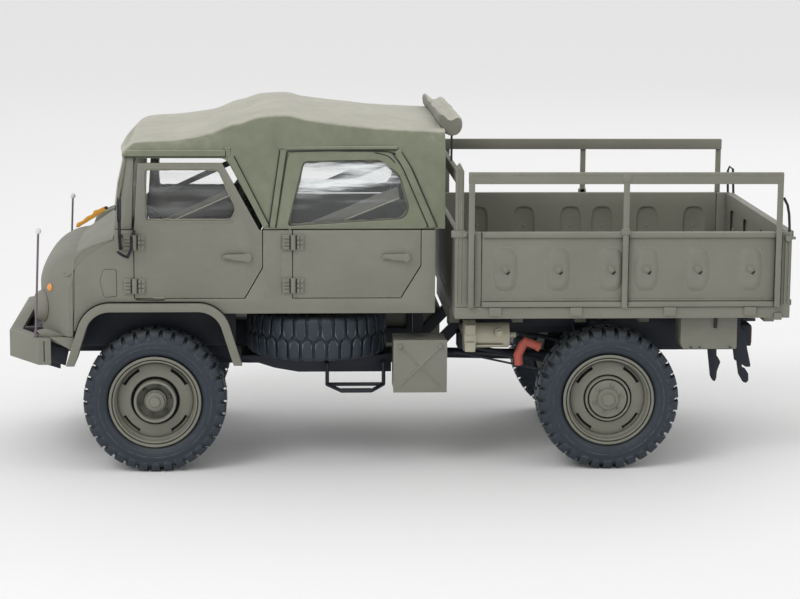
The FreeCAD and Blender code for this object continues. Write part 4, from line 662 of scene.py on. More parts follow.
def wheel_matrix(node_name, side):
    """Turns a piece drawn about +Z so that +Z is the wheel's outward axle line."""
    return outward(middle(node_name), side)


# Wheels

# Tyre's half section: (share of the width outwards, share of the radius).
TYRE_PROFILE = (
    (0.0, 0.955), (0.27, 0.955), (0.35, 0.95), (0.4, 0.938), (0.44, 0.918), (0.466, 0.893), (0.48, 0.872),
    (0.484, 0.858), (0.482, 0.852), (0.487, 0.846), (0.495, 0.83), (0.5, 0.815), (0.5, 0.80), (0.499, 0.786),
    (0.493, 0.782), (0.494, 0.776), (0.49, 0.76), (0.48, 0.74), (0.469, 0.722), (0.462, 0.719), (0.459, 0.712),
    (0.445, 0.694), (0.425, 0.676), (0.4, 0.662), (0.37, 0.65), (0.345, 0.635), (0.34, 0.622),
)
# Lug's section: (out along the axle, radius, half its width there) in millimetres.
LUG_PROFILE = (
    (0.1, 11.7, 0.36), (0.06, 12.98, 0.34), (0.75, 13.0, 0.98), (2.3, 13.0, 0.96), (3.3, 12.92, 0.84),
    (3.78, 12.55, 0.76), (3.98, 11.95, 0.72), (4.02, 11.42, 0.66), (3.6, 11.3, 0.7), (2.3, 11.7, 0.96),
)
# Parts of a rim: (radius, height outwards) in millimetres.
FLANGE = (
    (6.9, -3.5), (7.35, -3.7), (8.1, -3.7), (8.35, -3.55), (8.38, -3.3), (7.9, -3.15), (7.8, -2.6), (6.6, -1.4),
    (6.6, 1.2), (7.85, 2.6), (7.95, 3.15), (8.3, 3.25), (8.4, 3.42), (8.38, 3.58), (8.22, 3.7), (8.02, 3.7),
    (7.9, 3.6), (7.84, 3.2), (7.72, 3.2), (7.66, 3.55), (7.54, 3.62), (7.42, 3.56), (7.36, 3.4), (7.32, 3.0),
    (7.32, 1.2), (7.1, 0.4), (6.2, 0.3), (6.2, -1.2), (6.9, -2.6),
)
DISC = (
    (6.95, 0.4), (6.9, 1.5), (6.85, 1.66), (6.75, 1.72), (6.0, 1.78), (5.0, 1.95), (4.6, 2.05), (4.45, 2.0), (4.3, 1.4),
)
DISC_THICKNESS = 0.5
DISC_SEGMENTS = 120
SLOT_COUNT = 4
SLOT_LEVEL = 3
SLOT_SWEEP = math.radians(34)
# Dark disc behind the slotted disc: painted shade seen through the slots.
SLOT_SHADE_DISC = ((7.2, 0.3), (7.2, 0.42), (3.9, 0.42), (3.9, 0.3))
FRONT_HUB = (
    (3.9, 0.6), (3.85, 3.4), (3.75, 3.5), (3.5, 3.5), (3.38, 3.4), (3.32, 1.3), (2.1, 1.2), (2.0, 2.35), (1.75, 2.45),
    (1.72, 3.0), (1.6, 3.2), (0.95, 3.25), (0.93, 3.75), (0.8, 3.9), (0.0, 3.92), (0.0, 0.6),
)
REAR_HUB = (
    (4.2, 0.8), (4.15, 2.45), (4.05, 2.6), (3.85, 2.62), (3.75, 2.5), (3.72, 1.7), (3.5, 1.7), (3.48, 2.45), (3.4, 2.6),
    (3.3, 2.62), (2.0, 2.6), (1.95, 2.66), (1.93, 3.0), (1.8, 3.12), (1.2, 3.14), (1.12, 3.2), (1.1, 3.62),
    (0.98, 3.75), (0.0, 3.78), (0.0, 0.8),
)
NUT = ((0.3, 0.0), (0.3, 0.22), (0.2, 0.3), (0.14, 0.5), (0.0, 0.52))
NUT_COUNT = 6
NUT_RINGS = {True: (2.7, 1.25), False: (2.65, 2.6)}
SPARE_TURN = math.radians(7)


def lug(profile):
    """One lug as a rounded block, its profile of (out along the axle, radius, half its width) in metres."""
    bm = bmesh.new()
    near = [bm.verts.new((radius, -half, out)) for out, radius, half in profile]
    far = [bm.verts.new((radius, half, out)) for out, radius, half in profile]
    total = len(profile)
    bm.faces.new(near)
    bm.faces.new(far[::-1])
    for step in range(total):
        after = (step + 1) % total
        bm.faces.new((near[step], far[step], far[after], near[after]))
    bmesh.ops.recalc_face_normals(bm, faces=bm.faces)
    round_edges(bm, 0.1 * MM, 2, math.radians(25))
    return bm


def tyre_mesh():
    """Tyre about +Z: moulded sidewalls with fine rings, and two rows of lugs that interlock."""
    low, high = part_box("tyre_front_left")
    tyre_radius, width = (high.z - low.z) / 2, high.y - low.y
    half = [(radius * tyre_radius, out * width) for out, radius in TYRE_PROFILE]
    outline = half + [(radius, -out) for radius, out in reversed(half[1:])]
    lug_count = sizes().lug_count
    parts = [(lathe(outline, 4 * lug_count, True), 0)]
    for row in SIDES:
        profile = [(out * MM * row, radius * MM, half_width * MM) for out, radius, half_width in LUG_PROFILE]
        for index in range(lug_count):
            angle = (index + (0.5 if row > 0 else 0.0)) * 2 * math.pi / lug_count
            parts.append((moved(lug(profile), Matrix.Rotation(angle, 4, "Z")), 0))
    return joined("tyre", parts)


def rim_mesh(front):
    """Pressed wheel about +Z: flange, well, slotted disc, a dark disc of painted shade behind the slots, hub ring, boss
    and nuts.
    """
    parts = [(turned(FLANGE, 96, True), 0), (slotted_disc(), 0), (turned(SLOT_SHADE_DISC, 64, True), 1)]
    parts.append((turned(FRONT_HUB if front else REAR_HUB), 0))
    ring, floor = NUT_RINGS[front]
    for index in range(NUT_COUNT):
        angle = 2 * math.pi * (index + 0.25) / NUT_COUNT
        spot = Vector((ring * MM * math.cos(angle), ring * MM * math.sin(angle), floor * MM))
        parts.append((moved(turned(NUT, 6), Matrix.Translation(spot)), 0))
    return joined("rim", parts)


def slotted_disc():
    """The rim's dished disc, with a ring of long slots left open."""
    bm = bmesh.new()
    rings = [[bm.verts.new((radius * MM * math.cos(angle), radius * MM * math.sin(angle), height * MM))
              for angle in turns(DISC_SEGMENTS)] for radius, height in DISC]
    between_slots = math.pi / SLOT_COUNT
    for level, (first, second) in enumerate(zip(rings, rings[1:])):
        for step in range(DISC_SEGMENTS):
            angle = 2 * math.pi * (step + 0.5) / DISC_SEGMENTS
            off_centre = between_slots - abs((angle + between_slots) % (2 * between_slots) - between_slots)
            if level == SLOT_LEVEL and off_centre < SLOT_SWEEP / 2:
                continue
            after = (step + 1) % DISC_SEGMENTS
            bm.faces.new((first[step], first[after], second[after], second[step]))
    bmesh.ops.recalc_face_normals(bm, faces=bm.faces)
    bmesh.ops.solidify(bm, geom=bm.faces[:], thickness=DISC_THICKNESS * MM)
    return bm


class TRUCK_OT_wheels(bpy.types.Operator):
    """Build the tyres and rims, the spare wheel among them"""

    bl_idname = "truck.wheels"
    bl_label = "Wheels"

    def execute(self, context):
        tread = tyre_mesh()
        rims = {True: rim_mesh(True), False: rim_mesh(False)}
        for name in WHEELS:
            side = -1 if name.endswith("left") else 1
            self.wheel(tread, rims[name.startswith("front")], name, wheel_matrix("rim_" + name, side), "wheel_" + name)
        spare = Matrix.Translation(middle("spare_tyre")) @ Matrix.Rotation(SPARE_TURN, 4, "Z")
        self.wheel(tread, rims[False], "spare", spare, "truck")
        return {"FINISHED"}

    def wheel(self, tread, rim, name, matrix, body):
        """Tyre and rim of one wheel, set in its place."""
        pieces = (("tyre", tread, "Tyre rubber", "tyre_black"), ("rim", rim, ("Rim paint", "Socket"), "body_paint"))
        for kind, source, finish, slot in pieces:
            mesh = source.copy()
            mesh.transform(matrix)
            node_name = "spare_" + kind if name == "spare" else kind + "_" + name
            add_piece(kind + "_" + name + "_moulding", mesh, finish, body, (node_name,))


# Canvas top

CANVAS_STATIONS = (
    (0.0, 0.14, 0.03), (0.05, 0.35, 0.43), (0.18, 0.42, 0.57), (0.275, 0.55, 0.65), (0.38, 0.85, 0.77),
    (0.467, 1.0, 0.95), (0.526, 1.0, 0.96), (0.572, 0.91, 0.93), (0.67, 0.79, 0.87), (0.8, 0.69, 0.77),
    (1.0, 0.63, 0.66),
)
EAVE_LIFT = 7.5
RIDGE_LIFT = 8.7
EAVE_INSET = 1.9
FRONT_BOW = 1.3
CANVAS_STEPS = 110
CANVAS_THICKNESS = 0.6
ROLL_STEPS = 70
DOOR_OPENING = ((-12.0, 57.5), (13.1, 57.5), (20.1, 44.5), (20.1, 40.0), (-12.0, 40.0))
REAR_OPENING = ((24.0, 45.1), (45.2, 46.4), (46.1, 48.6), (44.3, 54.6), (40.7, 57.3), (26.9, 57.0))
REAR_FLAP = ((21.6, 44.75), (24.3, 58.6), (42.6, 58.7), (43.9, 57.9), (49.7, 44.75))
# Bands on the canvas's sides: line of (x, z), width.
BANDS = (
    (((-4.6, 58.35), (13.2, 58.35)), 1.1),
    (((12.9, 58.6), (13.9, 58.6)), 1.6),
    (((13.9, 57.9), (20.3, 45.2)), 1.2),
    (((23.4, 59.3), (21.3, 45.0)), 1.1),
    (((22.6, 59.3), (43.8, 59.4)), 0.5),
    (((43.9, 58.9), (45.6, 55.6), (50.3, 45.0)), 1.3),
)
# Stitched lines of (x, z), which lie on the bands or on the flap.
BAND_SEAMS = (
    ((-4.6, 57.75), (13.0, 57.75)),
    ((14.55, 57.9), (20.9, 45.2)),
    ((22.75, 59.0), (20.75, 45.0)),
    ((24.1, 58.7), (22.0, 45.0)),
    ((24.2, 58.75), (33.0, 58.95), (42.4, 58.7), (43.5, 58.2)),
    ((42.9, 58.4), (44.7, 56.0), (49.5, 45.0)),
    ((44.6, 58.6), (46.6, 55.4), (51.1, 45.0)),
)
FLAP_SEAM = ((39.8, 58.5), (42.2, 58.0), (43.4, 56.7))
SEAM_WIDTH = 0.17
# Profile of the canvas roll: (share of its length along x, share of its height).
ROLL_PROFILE = (
    (0.13, 0.36), (0.03, 0.55), (0.0, 0.76), (0.03, 0.93), (0.1, 1.0), (0.18, 0.96), (0.27, 0.86), (0.38, 0.75),
    (0.5, 0.71), (0.62, 0.74), (0.73, 0.82), (0.84, 0.84), (0.94, 0.74), (1.0, 0.56), (0.99, 0.36), (0.92, 0.18),
    (0.8, 0.05), (0.64, 0.0), (0.48, 0.01), (0.33, 0.08), (0.21, 0.2),
)


def catmull(values, at):
    """Smooth value between the middle two of four."""
    a, b, c, d = values
    return b + 0.5 * at * (c - a + at * (2 * a - 5 * b + 4 * c - d + at * (3 * (b - c) + d - a)))


def station_at(along):
    """Eave and ridge shares at a share of the canvas's length."""
    index = 0
    while index < len(CANVAS_STATIONS) - 2 and CANVAS_STATIONS[index + 1][0] < along:
        index += 1
    picked = [CANVAS_STATIONS[min(max(index + step, 0), len(CANVAS_STATIONS) - 1)] for step in (-1, 0, 1, 2)]
    at = (along - picked[1][0]) / (picked[2][0] - picked[1][0])
    return [catmull([station[part] for station in picked], at) for part in (1, 2)]


def rounded_corner(start, corner, end, steps):
    """Points along a soft corner, without its last one."""
    points = []
    for step in range(steps):
        at = step / steps
        first, second = start.lerp(corner, at), corner.lerp(end, at)
        points.append(first.lerp(second, at))
    return points


def canvas_section(along, low, high):
    """Left half of the section across the top, from the hem up to the ridge, as (y, z)."""
    half = high.y
    base = high.z - RIDGE_LIFT * MM
    eave_share, ridge_share = station_at(along)
    eave = base + EAVE_LIFT * MM * eave_share
    ridge = base + RIDGE_LIFT * MM * ridge_share
    wall_top = min(eave - 0.9 * MM, max(eave - 5.0 * MM, low.z + 13.6 * MM))
    foot, wall = Vector((-half, low.z)), Vector((-half, wall_top))
    inset = EAVE_INSET * MM * min(1.0, max(0.35, (eave - wall_top) / (3.6 * MM)))
    crease = Vector((inset - half, eave))
    roof = Vector((-half * 0.42, eave + (ridge - eave) * 0.9))
    before, after = crease.lerp(wall, 0.14), crease.lerp(roof, 0.05)
    points = [foot.lerp(wall, step / 18) for step in range(18)]
    points += rounded_corner(wall, wall.lerp(before, 0.4) + Vector((-0.15 * MM, 0.0)), before, 8)
    points += rounded_corner(before, crease, after, 7)
    points += rounded_corner(after, roof, Vector((0.0, ridge)), 18)
    return points + [Vector((0.0, ridge))]


def fold(point, along, low, high):
    """How far a point of the canvas is pushed outwards by folds and sags."""
    spot = Vector((point.x * 55, point.y * 55, point.z * 90))
    lumps = noise.noise(spot) * 0.5 + noise.noise(spot * 2.3) * 0.25
    height = min(1.0, max(0.0, (point.z - low.z - 10 * MM) / (12 * MM)))
    gather = math.exp(-((along - 0.42) / 0.13) ** 2)
    run = point.x / MM
    pleats = math.sin(run * 0.95 + point.z / MM * 0.4 + noise.noise(spot * 0.7) * 2.2) * gather * height
    drape = noise.noise(Vector((run * 0.34, 4.0, point.z / MM * 0.06))) * height
    return sizes().fold_depth * (lumps + 0.75 * pleats + 0.8 * drape)


def cut(mesh, cutters):
    """Cut closed meshes out of a mesh."""
    whole = bpy.data.objects.new("scratch_whole", mesh)
    bpy.context.scene.collection.objects.link(whole)
    tools = []
    for bm in cutters:
        tool_mesh = bpy.data.meshes.new("scratch_tool")
        bmesh.ops.recalc_face_normals(bm, faces=bm.faces)
        bm.to_mesh(tool_mesh)
        bm.free()
        tool = bpy.data.objects.new("scratch_tool", tool_mesh)
        bpy.context.scene.collection.objects.link(tool)
        modifier = whole.modifiers.new("cut", "BOOLEAN")
        modifier.object = tool
        modifier.operation = "DIFFERENCE"
        modifier.solver = "EXACT"
        tools.append(tool)
    bpy.context.view_layer.update()
    ready = whole.evaluated_get(bpy.context.evaluated_depsgraph_get())
    result = bpy.data.meshes.new_from_object(ready)
    for made in tools + [whole]:
        scratch = made.data
        bpy.data.objects.remove(made)
        bpy.data.meshes.remove(scratch)
    return result


def side_prism(outline, start, end, width=0.0):
    """Outline of (x, z) in millimetres from the front axle, made solid between two depths in metres."""
    points = [place(x, 0.0, z) for x, z in outline]
    shift = Vector((0.0, end - start, 0.0))
    for point in points:
        point.y = start
    return plate(points, Vector((0.0, 0.0, 0.0)), shift, width)


def softened(outline, radius):
    """Outline of (x, z) with each corner rounded, as a longer list of points."""
    points = []
    total = len(outline)
    for index in range(total):
        corner = Vector(outline[index])
        back, ahead = Vector(outline[index - 1]), Vector(outline[(index + 1) % total])
        reach = min(radius, (back - corner).length / 2.1, (ahead - corner).length / 2.1)
        start = corner + (back - corner).normalized() * reach
        end = corner + (ahead - corner).normalized() * reach
        points += rounded_corner(start, corner, end, 6) + [end]
    return points


def canopy_mesh():
    """The canvas top as one moulded skin with its openings cut."""
    low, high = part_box("canopy")
    bm = bmesh.new()
    rows = []
    for step in range(CANVAS_STEPS + 1):
        along = step / CANVAS_STEPS
        left = canvas_section(along, low, high)
        section = left + [Vector((-point.x, point.y)) for point in left[-2::-1]]
        x = low.x + (high.x - low.x) * along
        row = []
        for y, z in section:
            bow = FRONT_BOW * MM * (y / high.y) ** 2 * max(0.0, 1 - along / 0.08)
            point = Vector((x + bow, y, z))
            away = Vector((0.0, y * 0.6, z - low.z - 8 * MM)).normalized()
            row.append(bm.verts.new(point + away * (fold(point, along, low, high) - sizes().fold_depth * 0.6)))
        rows.append(row)
    join_rings(bm, rows, wrap=False)
    close_ends(bm, rows)
    bmesh.ops.recalc_face_normals(bm, faces=bm.faces)
    skin = BVHTree.FromBMesh(bm)
    bm.faces.new([row[0] for row in rows] + [row[-1] for row in reversed(rows)])
    bmesh.ops.recalc_face_normals(bm, faces=bm.faces)
    mesh = mesh_of("canopy", bm)
    half = high.y + 2 * MM
    cutters = [side_prism(softened(opening, radius), -half, half)
               for opening, radius in ((DOOR_OPENING, 1.2), (REAR_OPENING, 1.0))]
    pillar_low, pillar_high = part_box("windscreen_frame")
    margin = Vector((0.25, 1.0, 0.2)) * MM
    cutters.append(box_mesh(pillar_low - margin, pillar_high + margin))
    shell = bmesh.new()
    shell.from_mesh(cut(mesh, cutters))
    spare = [face for face in shell.faces if skin.find_nearest(face.calc_center_median())[3] > 0.01 * MM]
    bmesh.ops.delete(shell, geom=spare, context="FACES")
    bmesh.ops.solidify(shell, geom=shell.faces[:], thickness=CANVAS_THICKNESS * MM)
    for vert in shell.verts:
        near, _, _, distance = skin.find_nearest(vert.co)
        if distance > 0.62 * MM:
            vert.co = near + (vert.co - near).normalized() * CANVAS_THICKNESS * MM
    return mesh_of("canopy", shell)


def strip_along(outline, width, start, end, round_width):
    """Flat band of a width, following a line of (x, z), made solid between two depths."""
    left, right = [], []
    for index, point in enumerate(outline):
        before, after = Vector(outline[max(index - 1, 0)]), Vector(outline[min(index + 1, len(outline) - 1)])
        ahead = (after - before).normalized()
        side = Vector((-ahead.y, ahead.x)) * width / 2
        left.append(Vector(point) + side)
        right.append(Vector(point) - side)
    return side_prism(left + right[::-1], start, end, round_width)


def line_on(outline, y, width=0.15):
    """Thin flat line along points of (x, z), lying on a side at a depth in metres."""
    return strip_along(outline, width, y, y + math.copysign(0.03 * MM, y), 0.0)


def inset_outline(outline, depth):
    """Outline of (x, z) drawn in by a depth that may change from place to place."""
    points = [Vector(point) for point in outline]
    total = len(points)
    middle_point = sum(points, Vector((0.0, 0.0))) / total
    drawn = []
    for index, point in enumerate(points):
        ahead = (points[(index + 1) % total] - points[index - 1]).normalized()
        inward = Vector((-ahead.y, ahead.x))
        if inward.dot(middle_point - point) < 0:
            inward = -inward
        drawn.append(point + inward * depth(point))
    return drawn


def wavering(depth, swing_by, scale, seed):
    """Depth for inset_outline that wavers along the outline."""
    return lambda point: depth + swing_by * noise.noise(Vector((point.x * scale, point.y * scale, seed)))


def dense(outline, step):
    """Outline of (x, z) with points no farther apart than a step."""
    points = []
    for start, end in zip(outline, list(outline[1:]) + [outline[0]]):
        start, end = Vector(start), Vector(end)
        parts = max(1, int((end - start).length / step))
        points += [start.lerp(end, part / parts) for part in range(parts)]
    return points


def ring_sheet(outer, inner, y):
    """Flat ring between two outlines of (x, z) with as many points, at a depth in metres."""
    bm = bmesh.new()
    rows = []
    for outline in (outer, inner):
        row = []
        for x, z in outline:
            point = place(x, 0.0, z)
            row.append(bm.verts.new((point.x, y, point.z)))
        rows.append(row)
    join_rings(bm, rows)
    return bm


class TRUCK_OT_canopy(bpy.types.Operator):
    """Build the moulded canvas top, its window flaps, seams and rear roll"""

    bl_idname = "truck.canopy"
    bl_label = "Canvas top"

    def execute(self, context):
        add_piece("canopy_moulding", canopy_mesh(), "Canvas top", stands_for=("canopy",))
        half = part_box("canopy")[1].y
        for side, label in ((-1, "left"), (1, "right")):
            skin = side * (half - 0.45 * MM)
            self.flap(side, label, skin, side * (half + 0.02 * MM))
            self.bands(label, skin, side * (half + 0.1 * MM))
            self.seams(label, side * (half + 0.11 * MM), side * (half + 0.03 * MM))
        add_piece("canopy_roll_moulding", self.roll(), "Canvas roll", stands_for=("canopy_roll",))
        low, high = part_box("canopy_roll")
        strap = box_mesh((high.x - 2.3 * MM, low.y + 0.3 * MM, low.z - 4.5 * MM),
                         (high.x - 1.9 * MM, low.y + 0.5 * MM, low.z + 0.6 * MM))
        add_piece("roll_strap", mesh_of("roll_strap", strap), "Trim")
        return {"FINISHED"}

    def flap(self, side, label, start, end):
        """Raised panel around the rear side window."""
        bm = side_prism(softened(REAR_FLAP, 1.6), start, end, 0.06 * MM)
        hole = side_prism(softened(REAR_OPENING, 1.0), -side * 0.01, side * 0.04)
        mesh = cut(mesh_of("flap", bm), [hole])
        smooth(mesh)
        add_piece("window_flap_" + label, mesh, "Canvas top")

    def bands(self, label, start, end):
        """Stitched bands: over the front door, down both sides of the gusset, and behind the rear window."""
        parts = [(strip_along(line, width, start, end, 0.08 * MM), 0) for line, width in BANDS]
        add_piece("canopy_bands_" + label, joined("bands", parts), "Canvas top")

    def seams(self, label, over, under):
        """Dark stitched lines beside the bands and round the window flap."""
        lines = [(line, over) for line in BAND_SEAMS] + [(FLAP_SEAM, under)]
        parts = [(line_on(softened_line(line), y, SEAM_WIDTH), 0) for line, y in lines]
        add_piece("canopy_seams_" + label, joined("seams", parts), "Seam line")

    def roll(self):
        """Canvas rolled along the back edge: a curled profile, lumpy along its length."""
        low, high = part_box("canopy_roll")
        bm = bmesh.new()
        rows = []
        for step in range(ROLL_STEPS + 1):
            y = low.y + (high.y - low.y) * step / ROLL_STEPS
            end = min(step, ROLL_STEPS - step) / 3
            shrink = 1.0 if end >= 1 else 0.86 + 0.14 * math.sqrt(end)
            row = []
            for index, (across, up) in enumerate(ROLL_PROFILE):
                lump = noise.noise(Vector((index * 0.5, y * 150, 0.0))) * 0.03
                across = 0.55 + (across - 0.55) * shrink + lump
                up = 0.45 + (up - 0.45) * shrink + lump * 0.7
                across, up = min(max(across, 0.0), 1.0), min(max(up, 0.0), 1.0)
                row.append(bm.verts.new((low.x + (high.x - low.x) * across, y, low.z + (high.z - low.z) * up)))
            rows.append(row)
        join_rings(bm, rows)
        close_ends(bm, rows)
        mesh = mesh_of("roll", bm)
        smooth(mesh, math.radians(60))
        return mesh


def softened_line(line, radius=0.9):
    """Open line of (x, z) with its inner corners rounded."""
    points = [Vector(line[0])]
    for before, corner, after in zip(line, line[1:], line[2:]):
        corner = Vector(corner)
        start = corner + (Vector(before) - corner).normalized() * radius
        end = corner + (Vector(after) - corner).normalized() * radius
        points += rounded_corner(start, corner, end, 5) + [end]
    return points + [Vector(line[-1])]


# Windows

DOOR_WINDOW = ((-1.6, 46.05), (14.2, 46.0), (15.3, 48.2), (11.9, 55.7), (-1.6, 55.7))
STAYS = (
    ((-1.2, 44.9), (13.9, 52.0), (14.7, 51.1), (1.0, 45.0)),
    ((26.6, 45.1), (43.9, 52.3), (44.3, 50.2), (34.4, 46.2), (33.0, 45.2)),
)
BEAD_DEPTH = 26.8
INNER_BEAD_DEPTH = 26.1


class TRUCK_OT_windows(bpy.types.Operator):
    """Build the waved window film and the beads round the windows"""

    bl_idname = "truck.windows"
    bl_label = "Windows"

    def execute(self, context):
        wave = sizes().film_wave
        # The rear film's haze, dense on its upper part, is a painted reflection.
        for name, finish, height in (("door_windows", "Door film", wave), ("canopy_windows", "Rear film", wave * 2.6)):
            add_piece(name + "_film", self.film(name, height), finish, stands_for=(name,))
        beads, light, edges, stays = [], [], [], []
        stay_high = span("window_stays")[1]
        film_y = span("canopy_windows")[1].y
        for side in SIDES:
            outline = softened(DOOR_WINDOW, 1.0)
            ring = [place(x, side * BEAD_DEPTH, z) for x, z in outline]
            beads.append(tube(ring + ring[:2], 0.3 * MM, 10))
            inner = inset_outline(dense(outline, 0.4), wavering(0.32, 0.1, 1.0, side))
            light.append(tube([place(x, side * INNER_BEAD_DEPTH, z) for x, z in inner + inner[:2]], 0.16 * MM, 8))
            for outline in STAYS:
                stays.append(side_plate(side, outline, stay_high.y - 0.55, stay_high.y - 0.05, 0.1))
                # A pale line along each stay's edge is a painted highlight.
                foot, head = outline[-1] if len(outline) == 4 else outline[3], outline[2]
                light.append(wire(side, [(x, stay_high.y - 0.02, z) for x, z in (foot, head)], 0.13, 8))
            outer = dense(softened(REAR_OPENING, 1.0), 0.35)
            ragged = inset_outline(outer, wavering(0.42, 0.3, 0.5, 5.0 + side))
            edges.append(ring_sheet(outer, ragged, side * (film_y + 0.06) * MM))
        add_parts("window_beads", beads, "Body paint")
        add_parts("window_stays_flat", stays, "Body paint", ("window_stays",))
        add_parts("window_pale_beads_and_highlights", light, "Light edge")
        add_parts("painted_film_edges", edges, "Film edge")
        return {"FINISHED"}

    def film(self, name, wave):
        """Both sheets of a pair of windows, each a dense grid with long shallow waves."""
        bm = welded_copy(name)
        bmesh.ops.triangulate(bm, faces=bm.faces)
        for _ in range(40):
            long = [edge for edge in bm.edges if edge.calc_length() > 0.7 * MM]
            if not long:
                break
            bmesh.ops.subdivide_edges(bm, edges=long, cuts=1)
            bmesh.ops.triangulate(bm, faces=bm.faces)
        for vert in bm.verts:
            spot = Vector((vert.co.x * 45, vert.co.y * 10, vert.co.z * 330))
            vert.co.y += wave * (noise.noise(spot) + 0.5 * noise.noise(spot * 2.7))
        return mesh_of(name, bm)


# Cushions

class TRUCK_OT_seats(bpy.types.Operator):
    """Build the padded front seats and the rear bench"""

    bl_idname = "truck.seats"
    bl_label = "Cushions"

    def execute(self, context):
        front_low, front_high = span("front_seats")
        seats = []
        for side in SIDES:
            seats += self.seat(front_low.x, front_high.x, side * 13.0, 14.5, front_low.z, front_high.z, 4)
        add_parts("front_seats_padded", seats, "Cushion cloth", ("front_seats",))
        low, high = span("rear_bench")
        bench = self.seat(low.x, high.x, 0.0, high.y - low.y, low.z, high.z, 12)
        add_parts("rear_bench_padded", bench, "Cushion cloth", ("rear_bench",))
        return {"FINISHED"}

    def seat(self, front, back, centre, breadth, base, top, pads):
        """Base, and a row of long pads for the cushion and for the leaning back."""
        inner = breadth / 2 - 0.5
        parts = [self.pad((front + 1.0, centre - inner, base), (back - 2.0, centre + inner, base + 2.4), 0.3)]
        pitch = breadth / pads
        lean = Matrix.Rotation(math.radians(8), 4, "Y")
        hinge = place(back - 3.6, 0.0, base + 4.5)
        for index in range(pads):
            start = centre - breadth / 2 + pitch * index
            parts.append(self.pad((front, start, base + 2.1), (back - 2.2, start + pitch, base + 5.6), 1.1))
            upright = self.pad((back - 4.3, start, base + 3.4), (back - 1.9, start + pitch, top - 0.1), 1.0)
            parts.append(moved(upright, Matrix.Translation(hinge) @ lean @ Matrix.Translation(-hinge)))
        for bm in parts:
            for vert in bm.verts:
                vert.co.x = min(vert.co.x, place(back, 0, 0).x)
                vert.co.z = min(vert.co.z, top * MM)
        return parts

    def pad(self, low, high, width):
        return box_mesh(place(*low), place(*high), width * MM, 4)


# Fittings

NOSE_EDGE = ((-7.1, 42.95), (-10.9, 41.75), (-12.8, 40.85), (-13.8, 39.7), (-14.2, 38.6), (-14.4, 36.8))
NOSE_FILL = NOSE_EDGE + ((-12.2, 38.4), (-7.1, 41.5))
NOSE_LINE = ((-14.5, 34.0), (-14.6, 30.0), (-14.8, 25.4))
NOSE_SHADOW = ((-14.5, 37.4), (-14.6, 30.0), (-14.85, 25.4))
BONNET_BOARD = (
    (-17.1, 39.35), (-16.9, 40.2), (-15.8, 40.65), (-15.0, 41.45), (-13.85, 41.95), (-13.5, 42.7), (-12.6, 42.9),
    (-12.0, 43.25), (-11.3, 43.5), (-10.85, 43.15), (-11.7, 42.3), (-12.6, 41.95), (-13.2, 41.4), (-14.3, 40.8),
    (-15.1, 40.25), (-15.8, 39.9), (-16.5, 39.4),
)
APRON = ((-21.05, 22.6), (-21.05, 20.1), (-16.6, 18.5), (-15.9, 21.7))
SKIRT = ((-21.3, 26.1), (-19.7, 26.45), (-14.8, 24.9), (-15.3, 22.7), (-20.2, 24.9))
HATCH = ((-8.95, 37.45), (-6.7, 37.45), (-6.65, 32.6), (-8.85, 32.4), (-9.6, 35.3))
FRONT_HANDLE = ((12.4, 39.95), (13.1, 40.2), (17.2, 40.3), (17.6, 39.7), (17.4, 38.95), (14.3, 39.2))
DOORS_APART = 28.6
HINGES = (-3.4, 25.1)
LEAF_DEPTH = 27.3
CATCH = ((-16.3, 36.5), (-15.9, 36.15), (-15.4, 36.1), (-14.8, 36.5))
# Lines in space: (x, depth to the side, z).
MIRROR_ARM = ((-6.1, 31.4, 41.3), (-5.2, 30.6, 40.5), (-4.5, 28.6, 39.9), (-3.9, 27.7, 41.2), (-3.4, 27.4, 44.6))
SCREEN_POST = ((-4.9, 25.95, 57.4), (-5.7, 26.0, 53.0), (-6.5, 26.0, 49.3))
# Painted highlight along the glass edge of the windscreen post.
SCREEN_HIGHLIGHT = ((-5.2, 26.15, 57.3), (-6.2, 26.25, 53.0), (-6.7, 26.25, 49.0))
# Painted shadow under the sill strip.
SILL_SHADOW = ((-3.2, 27.05, 31.95), (0.9, 27.08, 31.85), (1.9, 27.1, 31.95))
# Painted highlight along the top edge of the sill strip.
SILL_HIGHLIGHT = ((-0.1, 27.0, 32.25), (1.9, 27.02, 32.2))
# Elbow pipe, and a dark plug in its mouth that is painted shade inside the pipe: (line, radius).
ELBOW = (
    (((66.9, -21.0, 18.5), (66.7, -21.0, 20.3), (67.6, -21.0, 22.3), (68.2, -21.0, 22.9)), 0.85),
    (((67.6, -21.0, 23.0), (69.4, -21.1, 22.4), (70.5, -21.2, 21.9)), 0.78),
    (((70.2, -21.2, 22.05), (70.7, -21.2, 21.85)), 0.92),
)
ELBOW_MOUTH_SHADE = (((70.68, -21.2, 21.86), (70.75, -21.2, 21.83)), 0.72)
HOSES = (((54.8, 20.8), (57.0, 20.5), (65.7, 18.6), (71.0, 17.5)), ((57.8, 20.8), (64.8, 20.1), (67.0, 19.2)))
HOSE_DEPTH = -20.6
# Turned parts: (radius, height).
HANDLE_LOCK = ((0.85, 0.0), (0.85, 0.3), (0.7, 0.5), (0.5, 0.9), (0.0, 0.95))
LID_BOLT = ((0.45, 0.0), (0.45, 0.12), (0.25, 0.3), (0.0, 0.32))
UNIT_CAP = ((0.8, 0.0), (0.8, 0.6), (0.5, 0.7), (0.45, 1.2), (0.0, 1.2))
MARKER_FOOT = ((0.5, 0.0), (0.5, 0.25), (0.28, 0.45), (0.26, 1.2), (0.0, 1.25))
MARKER_DEPTH = 25.5


